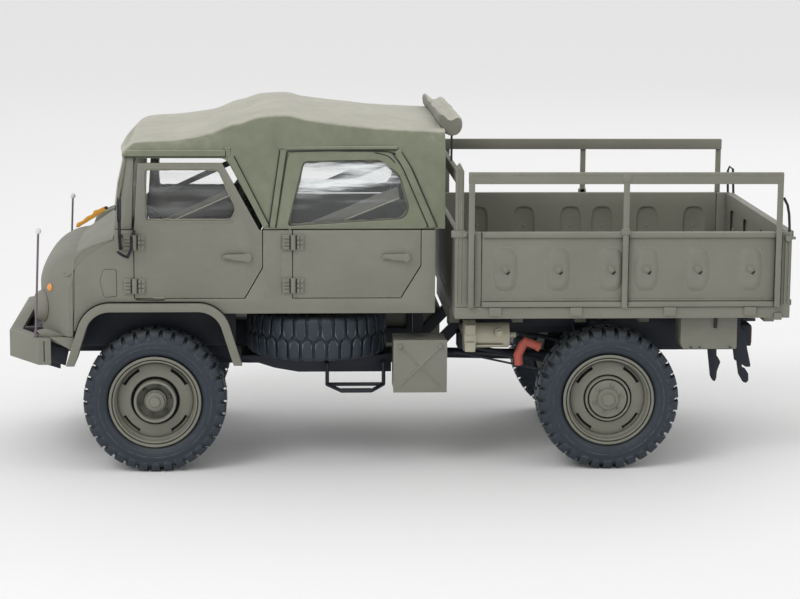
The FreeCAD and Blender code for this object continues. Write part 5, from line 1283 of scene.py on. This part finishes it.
class TRUCK_OT_fittings(bpy.types.Operator):
    """Build the hinges' ribs, handles, hatches, catches and small marks of the cab: dark lines, painted shadows and
    painted highlights
    """

    bl_idname = "truck.fittings"
    bl_label = "Cab fittings"

    def execute(self, context):
        skin = Skin(("nose_panel", "cab_body", "front_doors", "rear_doors"))
        body, dark, light = [], [], []
        belt = span("rear_doors")[1].z
        for side in SIDES:
            for hinge_x in HINGES:
                for foot in (belt - 3.5, 33.1):
                    self.hinge_ribs(body, dark, side, hinge_x, foot)
            for shift in (0.0, DOORS_APART):
                outline = [(x + shift, z) for x, z in FRONT_HANDLE]
                body.append(side_plate(side, softened(outline, 0.3), 27.4, 27.85, 0.14))
                body.append(turned_boss(HANDLE_LOCK, (16.95 + shift, 26.95, 39.55), side))
            body.append(side_plate(side, softened(NOSE_FILL, 0.3), 24.0, 26.85, 0.2))
            body.append(tube([place(x, side * 26.75, z) for x, z in NOSE_EDGE + NOSE_LINE], 0.2 * MM, 8))
            dark.append(tube([place(x + 0.28, side * 26.95, z - 0.1) for x, z in NOSE_SHADOW], 0.09 * MM, 6))
            body.append(side_plate(side, SKIRT, 25.2, 25.9, 0.15))
            body.append(block(side, (-15.3, 24.6, 24.2), (-13.9, 25.7, 26.6), 0.1))
            body.append(wire(side, SCREEN_POST, 0.35, 10))
            edge = softened(HATCH, 0.35)
            hatch = [skin.at(x, z, side, -0.1) for x, z in edge]
            body.append(plate(hatch, Vector((0.0, 0.0, 0.0)), Vector((0.0, side * 0.24 * MM, 0.0)), 0.06 * MM))
            dark.append(tube([skin.at(x, z, side, 0.02) for x, z in edge + edge[:2]], 0.07 * MM, 6))
            body.append(tube(skin.line(CATCH, side, 0.12, 0.2), 0.14 * MM, 8))
            # Painted shadow under the sill; painted highlights on the windscreen post and the sill.
            dark.append(wire(side, SILL_SHADOW, 0.09, 8))
            light.append(wire(side, SCREEN_HIGHLIGHT, 0.15, 8))
            light.append(wire(side, SILL_HIGHLIGHT, 0.08, 8))
            body.append(block(side, (19.9, 26.95, 32.4), (22.9, 27.08, 44.3), 0.05))
        add_parts("cab_fittings", body, "Body paint")
        add_parts("cab_dark_lines_and_shadows", dark, "Seam line")
        add_parts("cab_painted_highlights", light, "Light edge")
        self.front()
        self.under()
        return {"FINISHED"}

    def hinge_ribs(self, body, dark, side, centre, foot):
        """Fine ribs on one leaf, small cells on the other, and a dark gap beside the pin."""
        for row in range(4):
            low = foot + 0.25 + row * 0.62
            body.append(block(side, (centre - 1.75, LEAF_DEPTH, low), (centre - 0.7, 27.56, low + 0.3), 0.06))
        for row in range(3):
            for column in range(2):
                left, low = centre + 0.7 + column * 0.6, foot + 0.25 + row * 0.82
                body.append(block(side, (left, LEAF_DEPTH, low), (left + 0.45, 27.6, low + 0.58), 0.08))
        for x in (centre - 0.58, centre + 0.58):
            dark.append(block(side, (x - 0.11, 27.34, foot + 0.05), (x + 0.11, 27.4, foot + 2.65), 0.0))

    def front(self):
        """Closed bumper ends, their marks, and the width markers with separate balls."""
        low, high = span("front_bumper")
        ends, marks, wires, balls = [], [], [], []
        aprons, shade_sheets, arms = [], [], []
        for side in SIDES:
            ends.append(block(side, (low.x + 6.0, high.y - 0.5, low.z + 0.1), (high.x, high.y - 0.02, high.z - 0.1),
                              0.12))
            marks.append(block(side, (high.x - 1.3, high.y - 0.3, low.z + 0.6),
                               (high.x - 1.12, high.y + 0.02, high.z - 0.5), 0.0))
            foot_x = low.x + 6.0 + (-0.5 if side < 0 else 1.6)
            foot, head = (foot_x, MARKER_DEPTH, high.z + 0.05), (foot_x + 0.8, MARKER_DEPTH, high.z + 19.3)
            wires.append(wire(side, (foot, head), 0.2))
            wires.append(turned_foot(foot, side))
            ball = bmesh.new()
            bmesh.ops.create_uvsphere(ball, u_segments=24, v_segments=16, radius=0.55 * MM)
            balls.append(moved(ball, Matrix.Translation(place(head[0], side * head[1], head[2]))))
            aprons.append(side_plate(side, APRON, 19.4, 20.2, 0.1))
            # Dark sheets inside the front wheel arches: painted shade in the wheel houses.
            shade_sheets.append(block(side, (-14.3, 16.2, 21.6), (14.6, 16.5, 31.3), 0.1))
            arms.append(wire(side, MIRROR_ARM, 0.26, 10))
        add_parts("front_aprons", aprons, "Chassis paint")
        add_parts("arch_shade_sheets", shade_sheets, "Chassis paint")
        add_parts("mirror_loops", arms, "Trim")
        low_y, high_y = [corner.y for corner in span("bonnet_board")]
        board = [side_plate(1, softened(BONNET_BOARD, 0.2), low_y, high_y, 0.12)]
        add_parts("bonnet_board_wavy", board, "Yellow board", ("bonnet_board",))
        tip = [block(1, (-11.5, low_y - 0.04, 42.95), (-10.8, high_y + 0.02, 43.5), 0.15)]
        add_parts("board_tip", tip, "Trim")
        add_parts("bumper_ends", ends, "Body paint")
        add_parts("bumper_marks", marks, "Seam line")
        add_parts("marker_wires", wires, "Marker wire", ("marker_rods",))
        add_parts("marker_balls", balls, "Marker ball")

    def under(self):
        """Small parts on the boxes and units that hang under the truck."""
        box_low, box_high = span("battery_box")
        body, dark, beige = [], [], []
        near = -box_low.y
        for x in (box_low.x + 1.2, box_high.x - 1.2):
            body.append(turned_boss(LID_BOLT, (x, near - 0.02, box_high.z - 1.1), -1))
        tool_low, tool_high = span("tool_box")
        near = -tool_low.y
        latch_x = tool_low.x + 5.9
        dark.append(block(-1, (latch_x, near - 0.05, tool_high.z - 2.9),
                          (latch_x + 0.7, near + 0.14, tool_high.z - 0.9), 0.05))
        body.append(block(-1, (latch_x + 0.5, near - 0.9, tool_high.z - 0.1),
                          (latch_x + 3.0, near + 0.1, tool_high.z + 0.35), 0.08))
        for x in (tool_low.x + 1.6, tool_low.x + 3.2, tool_high.x - 1.6):
            dark.append(block(-1, (x, near - 0.02, tool_low.z + 0.3), (x + 0.5, near + 0.05, tool_low.z + 0.55), 0.0))
        unit_low, unit_high = span("air_cleaner")
        near = -unit_low.y
        for low_z, high_z in ((unit_low.z + 0.3, unit_low.z + 2.1), (unit_high.z - 2.3, unit_high.z - 0.5)):
            beige.append(block(-1, (unit_low.x + 0.1, near - 0.4, low_z),
                               (unit_low.x + 2.0, near + 0.25, high_z), 0.12))
        beige.append(block(-1, (unit_low.x + 2.2, near - 1.0, unit_low.z + 1.2),
                           (unit_high.x - 2.6, near - 0.5, unit_low.z + 1.5), 0.08))
        beige.append(turned_boss(UNIT_CAP, (unit_high.x - 3.4, near - 0.9, unit_high.z - 2.0), -1))
        red = [tube([place(*point) for point in line], radius * MM, 20) for line, radius in ELBOW]
        add_parts("elbow_pipe", red, "Red pipe", ("filler_elbow",))
        # Dark plug in the pipe's mouth: painted shade inside it.
        mouth_shade, radius = ELBOW_MOUTH_SHADE
        dark.append(tube([place(*point) for point in mouth_shade], radius * MM, 20))
        dark += [tube([place(x, HOSE_DEPTH, z) for x, z in line], 0.2 * MM, 8) for line in HOSES]
        lamp_low, lamp_high = span("tail_lamps")
        lamps, lenses = [], []
        for side in SIDES:
            lamps.append(block(side, (lamp_low.x, lamp_high.y - 5.2, lamp_low.z),
                               (lamp_high.x - 0.12, lamp_high.y, lamp_high.z), 0.25))
            lenses.append(block(side, (lamp_high.x - 0.5, lamp_high.y - 4.8, lamp_low.z + 0.5),
                                (lamp_high.x, lamp_high.y - 0.4, lamp_high.z - 0.5), 0.1))
        add_parts("tail_lamp_housings", lamps, "Chassis paint", ("tail_lamps",))
        add_parts("tail_lamp_lenses", lenses, "Red lens")
        add_parts("box_fittings", body, "Body paint")
        add_parts("box_dark_fittings", dark, "Trim")
        add_parts("unit_lugs", beige, "Beige unit")


def turned_foot(foot, side):
    """Small round foot of a width marker."""
    x, y, z = foot
    return moved(turned(MARKER_FOOT, 16), Matrix.Translation(place(x, side * y, z)))


# Load bed

POST_TOP = 44.0
PANEL_SHARES = (0.078, 0.258, 0.438, 0.56, 0.734, 0.915)
PANEL_HALF = (2.25, 4.0)
# Turned parts: (radius, height).
BOARD_BOLT = ((0.72, 0.0), (0.72, 0.16), (0.55, 0.22), (0.55, 0.45), (0.4, 0.62), (0.0, 0.68))
INNER_BOLT = ((0.34, 0.0), (0.34, 0.22), (0.2, 0.3), (0.0, 0.32))
STAY_PIN = ((0.45, 0.0), (0.45, 0.3), (0.0, 0.35))
CLAMP_BOLT = ((0.4, 0.0), (0.4, 0.25), (0.0, 0.3))
POST_KNOB = ((0.55, 0.0), (0.55, 0.4), (0.35, 0.6), (0.0, 0.62))
RAIL_CAP = ((0.9, 0.0), (0.9, 0.12), (0.7, 0.25), (0.0, 0.32))
RAIL_BOLT = ((0.3, 0.0), (0.3, 0.12), (0.0, 0.2))
GATE_BOLT = ((0.55, 0.0), (0.55, 0.14), (0.36, 0.18), (0.3, 0.34), (0.0, 0.36))
# Painted shadow that a bolt casts to its lower right: (x, z) from the bolt's centre.
BOLT_SHADOW = ((0.5, -0.95), (0.95, -0.4), (0.6, -0.2), (0.1, -0.75))
# Wire stays by side: lines of (x, z) at one depth.
STAY_DEPTH = 29.0
STAY_LINES = {
    -1: ((113.7, 50.6), (114.4, 49.3), (114.75, 47.6), (114.9, 45.4), (114.95, 43.6)),
    1: ((114.9, 44.0), (114.75, 48.8), (115.1, 49.7), (115.8, 49.2), (116.05, 44.0)),
}


def rail_posts(low, high):
    """Where the posts of a hand rail stand along it."""
    return low.x + 0.55, (low.x + high.x) / 2, high.x - 0.55


class TRUCK_OT_bed(bpy.types.Operator):
    """Build the drop sides with their pressed panels and bolts, and the fittings of the posts"""

    bl_idname = "truck.bed"
    bl_label = "Load bed"

    def execute(self, context):
        low, high = span("bed_sides")
        length = high.x - low.x
        centres = [low.x + length * share for share in PANEL_SHARES]
        middle_z = (low.z + high.z) / 2 + 0.05
        boards, bolts, bolt_shadow_marks = [], [], []
        for side in SIDES:
            boards += self.board(side, low, high, centres, middle_z)
            for x in centres:
                bolts.append(turned_boss(BOARD_BOLT, (x, high.y - 0.12, middle_z + 0.1), side, 18))
                # Painted shadow to the lower right of each bolt.
                bolt_shadow_outline = [(x + right, middle_z + up) for right, up in BOLT_SHADOW]
                bolt_shadow_marks.append(side_plate(side, bolt_shadow_outline, high.y - 0.1, high.y + 0.03, 0.0))
                bolts.append(turned_boss(INNER_BOLT, (x, -(high.y - 0.85), middle_z), -side, 12))
        add_parts("bed_sides_pressed", boards, "Body paint", ("bed_sides",))
        add_parts("bed_bolts", bolts, "Body paint")
        add_parts("painted_bolt_shadows", bolt_shadow_marks, "Seam line")
        self.rails()
        self.stays()
        self.posts()
        self.gate_bolts()
        return {"FINISHED"}

    def board(self, side, low, high, centres, middle_z):
        """One drop side: a plate with hollow pockets behind, pressed panels in front, and beads above and below."""
        outer = high.y - 0.5
        sheet = mesh_of("board", block(side, (low.x, outer - 1.0, low.z), (high.x, outer, high.z), 0.12))
        pockets = []
        for x in centres:
            levels = ((0.0, outer - 1.3), (0.0, outer - 1.0), (0.35, outer - 0.62), (0.55, outer - 0.55))
            pockets.append(pressed_panel((x, middle_z), PANEL_HALF, levels, side))
        shaped = bmesh.new()
        shaped.from_mesh(cut(sheet, pockets))
        parts = [shaped]
        levels = ((0.0, outer - 0.1), (0.0, outer), (0.12, outer + 0.1), (0.85, outer + 0.46), (1.05, outer + 0.5),
                  (1.5, outer + 0.48))
        parts += [pressed_panel((x, middle_z), PANEL_HALF, levels, side, 3.0, 40) for x in centres]
        for foot in (low.z, high.z - 1.0):
            parts.append(block(side, (low.x, outer - 0.1, foot), (high.x, outer + 0.5, foot + 1.0), 0.24))
        parts.append(block(side, (low.x + 0.1, outer - 0.02, low.z + 1.15), (high.x - 0.1, outer + 0.12, low.z + 1.45),
                           0.05))
        return parts

    def rails(self):
        """Hand rails: a long board on slim posts, the lower half of each post thicker and rounded."""
        low, high = span("hand_rails")
        outer, inner = high.y, high.y - 0.9
        posts = rail_posts(low, high)
        parts = []
        for side in SIDES:
            parts.append(block(side, (low.x, inner, high.z - 2.1), (high.x, outer, high.z), 0.12))
            parts.append(block(side, (low.x + 0.2, outer - 0.1, high.z - 0.5),
                               (high.x - 0.2, outer + 0.08, high.z - 0.15), 0.06))
            for x in posts:
                parts.append(block(side, (x - 0.55, outer - 0.4, low.z), (x + 0.55, outer, high.z - 1.9), 0.16))
                parts.append(block(side, (x - 0.5, outer - 0.1, low.z + 0.2), (x + 0.3, outer + 0.12, POST_TOP), 0.1))
            centre = posts[1]
            parts.append(block(side, (centre - 0.85, outer - 0.4, POST_TOP), (centre + 0.75, outer + 0.1, 45.1), 0.15))
        add_parts("hand_rails_slim", parts, "Body paint", ("hand_rails",))

    def stays(self):
        """Bent wire stays between the back posts and the tailgate's corners."""
        wires, pins = [], []
        for side in SIDES:
            wires.append(wire(side, [(x, STAY_DEPTH, z) for x, z in STAY_LINES[side]], 0.25))
            pins.append(block(side, (114.1, 28.7, 43.0), (116.1, 29.3, 43.5), 0.1))
            pins.append(turned_boss(STAY_PIN, (115.0, 29.2, 43.25), side, 14))
        add_parts("stay_wires", wires, "Trim", ("tailgate_stays",))
        add_parts("stay_pins", pins, "Body paint")

    def posts(self):
        """Clamps, ridges and caps on the stakes, the corner posts and the rail posts, with a painted shadow strip
        beside each rail post.
        """
        head_low, head_high = span("bed_headboard")
        floor_high = span("bed_floor")[1]
        rail_low, rail_high = span("hand_rails")
        near = head_high.y
        body, dark = [], []
        for side in SIDES:
            for x in (head_low.x + 0.4, head_low.x + 1.1):
                body.append(wire(side, ((x, near, head_low.z + 0.5), (x, near, head_high.z - 1.2)), 0.14, 8))
            body.append(block(side, (head_low.x - 0.75, near - 0.3, 43.5),
                              (head_low.x + 1.75, near + 0.35, 44.75), 0.15))
            body.append(turned_boss(CLAMP_BOLT, (head_low.x + 1.7, near + 0.25, 44.05), side, 14))
            for rib in range(4):
                x = floor_high.x - 2.6 + rib * 0.68
                body.append(block(side, (x, near - 0.1, 31.2), (x + 0.3, near + 0.16, POST_TOP), 0.08))
            body.append(turned_boss(POST_KNOB, (floor_high.x - 0.8, near + 0.05, 43.2), side, 16))
            body.append(block(side, (floor_high.x - 2.9, near - 0.1, 28.3),
                              (floor_high.x - 1.5, near + 0.45, 29.6), 0.1))
            posts = rail_posts(rail_low, rail_high)
            body.append(turned_boss(RAIL_CAP, (posts[1], rail_high.y - 0.05, rail_high.z - 1.0), side, 24))
            for x in posts:
                body.append(turned_boss(RAIL_BOLT, (x, rail_high.y - 0.03, 42.9), side, 12))
                # Painted shadow strip to the right of each rail post.
                dark.append(block(side, (x + 0.56, rail_high.y - 0.5, 31.0), (x + 0.64, rail_high.y - 0.02, POST_TOP),
                                  0.0))
        add_parts("bed_fittings", body, "Body paint")
        add_parts("bed_painted_post_shadows", dark, "Seam line")

    def gate_bolts(self):
        """Bolts on both faces of the tailgate's raised panels."""
        low, high = span("bed_tailgate")
        middle_z = (low.z + high.z) / 2
        bolts = []
        for y in [high.y * share for share in (-0.75, -0.28, 0.28, 0.75)]:
            for x, ahead in ((high.x - 0.2, 1), (low.x + 0.3, -1)):
                turn = Matrix.Rotation(ahead * math.pi / 2, 4, "Y")
                bolts.append(moved(turned(GATE_BOLT, 16), Matrix.Translation(place(x, y, middle_z)) @ turn))
        add_parts("gate_bolts", bolts, "Body paint")


# Pieces in the shape of their solids

PLAIN_PIECES = {
    "Body paint": ("body_paint", ("windscreen_frame", "cab_body", "front_doors", "rear_doors", "front_mudguards",
                                  "front_bumper", "bed_floor", "bed_headboard", "bed_tailgate",
                                  "battery_box", "fuel_tank", "tool_box", "headlamps")),
    "Chassis paint": ("chassis_black", ("chassis_frame", "front_axle", "rear_axle", "engine_block", "spare_carrier",
                                        "tail_brackets", "tow_coupling", "exhaust")),
    "Trim": ("trim_black", ("steps",)),
    "Beige unit": ("unit_beige", ("air_cleaner",)),
    "Cushion cloth": ("seat_dark", ("dashboard",)),
}

KEPT_NODES = {
    "Body paint": ("nose_panel", "grille"),
    "Chassis paint": ("coil_springs", "shock_absorbers", "steering_linkage", "drive_tubes"),
    "Trim": ("wipers", "mirrors", "steering_wheel"),
    "Orange lens": ("turn_lamps",),
    "Screen film": ("windscreen_pane",),
    "Lamp glass": ("headlamp_glasses",),
}


class TRUCK_OT_mouldings(bpy.types.Operator):
    """Give the plain mouldings their rounded edges and paint"""

    bl_idname = "truck.mouldings"
    bl_label = "Mouldings"

    def execute(self, context):
        for finish, (slot, names) in PLAIN_PIECES.items():
            for name in names:
                rounded_node(name, finish)
        for finish, names in KEPT_NODES.items():
            for name in names:
                mesh = NODES[name].data
                mesh.materials.clear()
                mesh.materials.append(material(finish))
                smooth(mesh)
        return {"FINISHED"}


# Stage

CAMERA_SPOT = (20.59, -448.2, 103.7)
CAMERA_YAW = math.radians(3.24)
CAMERA_PITCH = math.radians(9.67)
CAMERA_ROLL = math.radians(0.37)
CAMERA_LENS = 106.25


class TRUCK_OT_stage(bpy.types.Operator):
    """Set up the floor, the soft light and the camera"""

    bl_idname = "truck.stage"
    bl_label = "Stage"

    def execute(self, context):
        scene = context.scene
        settings = scene.truck_stage
        scene.view_settings.view_transform = "Standard"
        self.floor(settings)
        self.world(scene, settings)
        self.light("Key", settings.key, 0.28, (-0.32, -0.42, 0.5), scene)
        self.light("Rim", settings.key * 0.35, 0.3, (0.35, 0.45, 0.45), scene)
        self.camera(scene)
        return {"FINISHED"}

    def floor(self, settings):
        half = 3.0
        bm = bmesh.new()
        corners = ((-half, -half), (half, -half), (half, half), (-half, half))
        bm.faces.new([bm.verts.new((x, y, 0.0)) for x, y in corners])
        mesh = bpy.data.meshes.new("floor")
        bm.to_mesh(mesh)
        bm.free()
        made = bpy.data.objects.new("floor", mesh)
        bpy.context.scene.collection.objects.link(made)
        finish = empty_material("Floor", Base_Color=rgba(settings.floor), Roughness=0.9, Specular_IOR_Level=0.1)[0]
        mesh.materials.append(finish)

    def world(self, scene, settings):
        world = bpy.data.worlds.new("Studio")
        scene.world = world
        world.use_nodes = True
        tree = world.node_tree
        tree.nodes.clear()
        seen = node(tree, "Background", {"Color": (1, 1, 1, 1), "Strength": 1.0})
        lit = node(tree, "Background", {"Color": (1, 1, 1, 1), "Strength": settings.fill})
        rays = node(tree, "LightPath")
        direct = maths(tree, "MAXIMUM", rays.outputs["Is Camera Ray"], rays.outputs["Is Glossy Ray"])
        direct = maths(tree, "MAXIMUM", direct, rays.outputs["Is Transmission Ray"])
        mixed = node(tree, "MixShader", {0: direct, 1: lit.outputs[0], 2: seen.outputs[0]})
        node(tree, "OutputWorld", {"Surface": mixed.outputs[0]})

    def light(self, name, power, size, spot, scene):
        lamp = bpy.data.lights.new(name, "AREA")
        lamp.energy = power
        lamp.size = size
        made = bpy.data.objects.new(name, lamp)
        made.location = spot
        made.rotation_euler = (Vector((0.0, 0.0, 0.03)) - Vector(spot)).to_track_quat("-Z", "Y").to_euler()
        scene.collection.objects.link(made)

    def camera(self, scene):
        lens = bpy.data.cameras.new("Camera")
        lens.sensor_width = 36.0
        lens.lens = CAMERA_LENS
        lens.clip_start = 0.01
        made = bpy.data.objects.new("Camera", lens)
        ahead = Vector((math.sin(CAMERA_YAW) * math.cos(CAMERA_PITCH), math.cos(CAMERA_YAW) * math.cos(CAMERA_PITCH),
                        -math.sin(CAMERA_PITCH)))
        level = Vector((math.cos(CAMERA_YAW), -math.sin(CAMERA_YAW), 0.0))
        upright = level.cross(ahead)
        across = level * math.cos(CAMERA_ROLL) + upright * math.sin(CAMERA_ROLL)
        above = upright * math.cos(CAMERA_ROLL) - level * math.sin(CAMERA_ROLL)
        turn = Matrix((across, above, -ahead)).transposed().to_4x4()
        made.matrix_world = Matrix.Translation(place(*CAMERA_SPOT)) @ turn
        scene.collection.objects.link(made)
        scene.camera = made


class TRUCK_PT_panel(bpy.types.Panel):
    """Lists the steps that build the truck, in order"""

    bl_idname = "TRUCK_PT_panel"
    bl_label = "Cargo truck"
    bl_space_type = "VIEW_3D"
    bl_region_type = "UI"
    bl_category = "Truck"

    def draw(self, context):
        for step in STEPS:
            self.layout.operator(step.bl_idname)


STEPS = (TRUCK_OT_wheels, TRUCK_OT_canopy, TRUCK_OT_windows, TRUCK_OT_seats, TRUCK_OT_fittings, TRUCK_OT_bed,
         TRUCK_OT_mouldings, TRUCK_OT_stage)
GROUPS = (("truck_colours", TruckColours), ("truck_sizes", TruckSizes), ("truck_stage", StageSettings))


def register():
    for name, group in GROUPS:
        bpy.utils.register_class(group)
        setattr(bpy.types.Scene, name, bpy.props.PointerProperty(type=group))
    for step in STEPS + (TRUCK_PT_panel,):
        bpy.utils.register_class(step)


def unregister():
    for step in (TRUCK_PT_panel,) + STEPS[::-1]:
        bpy.utils.unregister_class(step)
    for name, group in GROUPS[::-1]:
        delattr(bpy.types.Scene, name)
        bpy.utils.unregister_class(group)


def main():
    register()
    make_materials()
    bpy.ops.truck.wheels()
    bpy.ops.truck.canopy()
    bpy.ops.truck.windows()
    bpy.ops.truck.seats()
    bpy.ops.truck.fittings()
    bpy.ops.truck.bed()
    bpy.ops.truck.mouldings()
    bpy.ops.truck.stage()


if __name__ == "__main__":
    main()
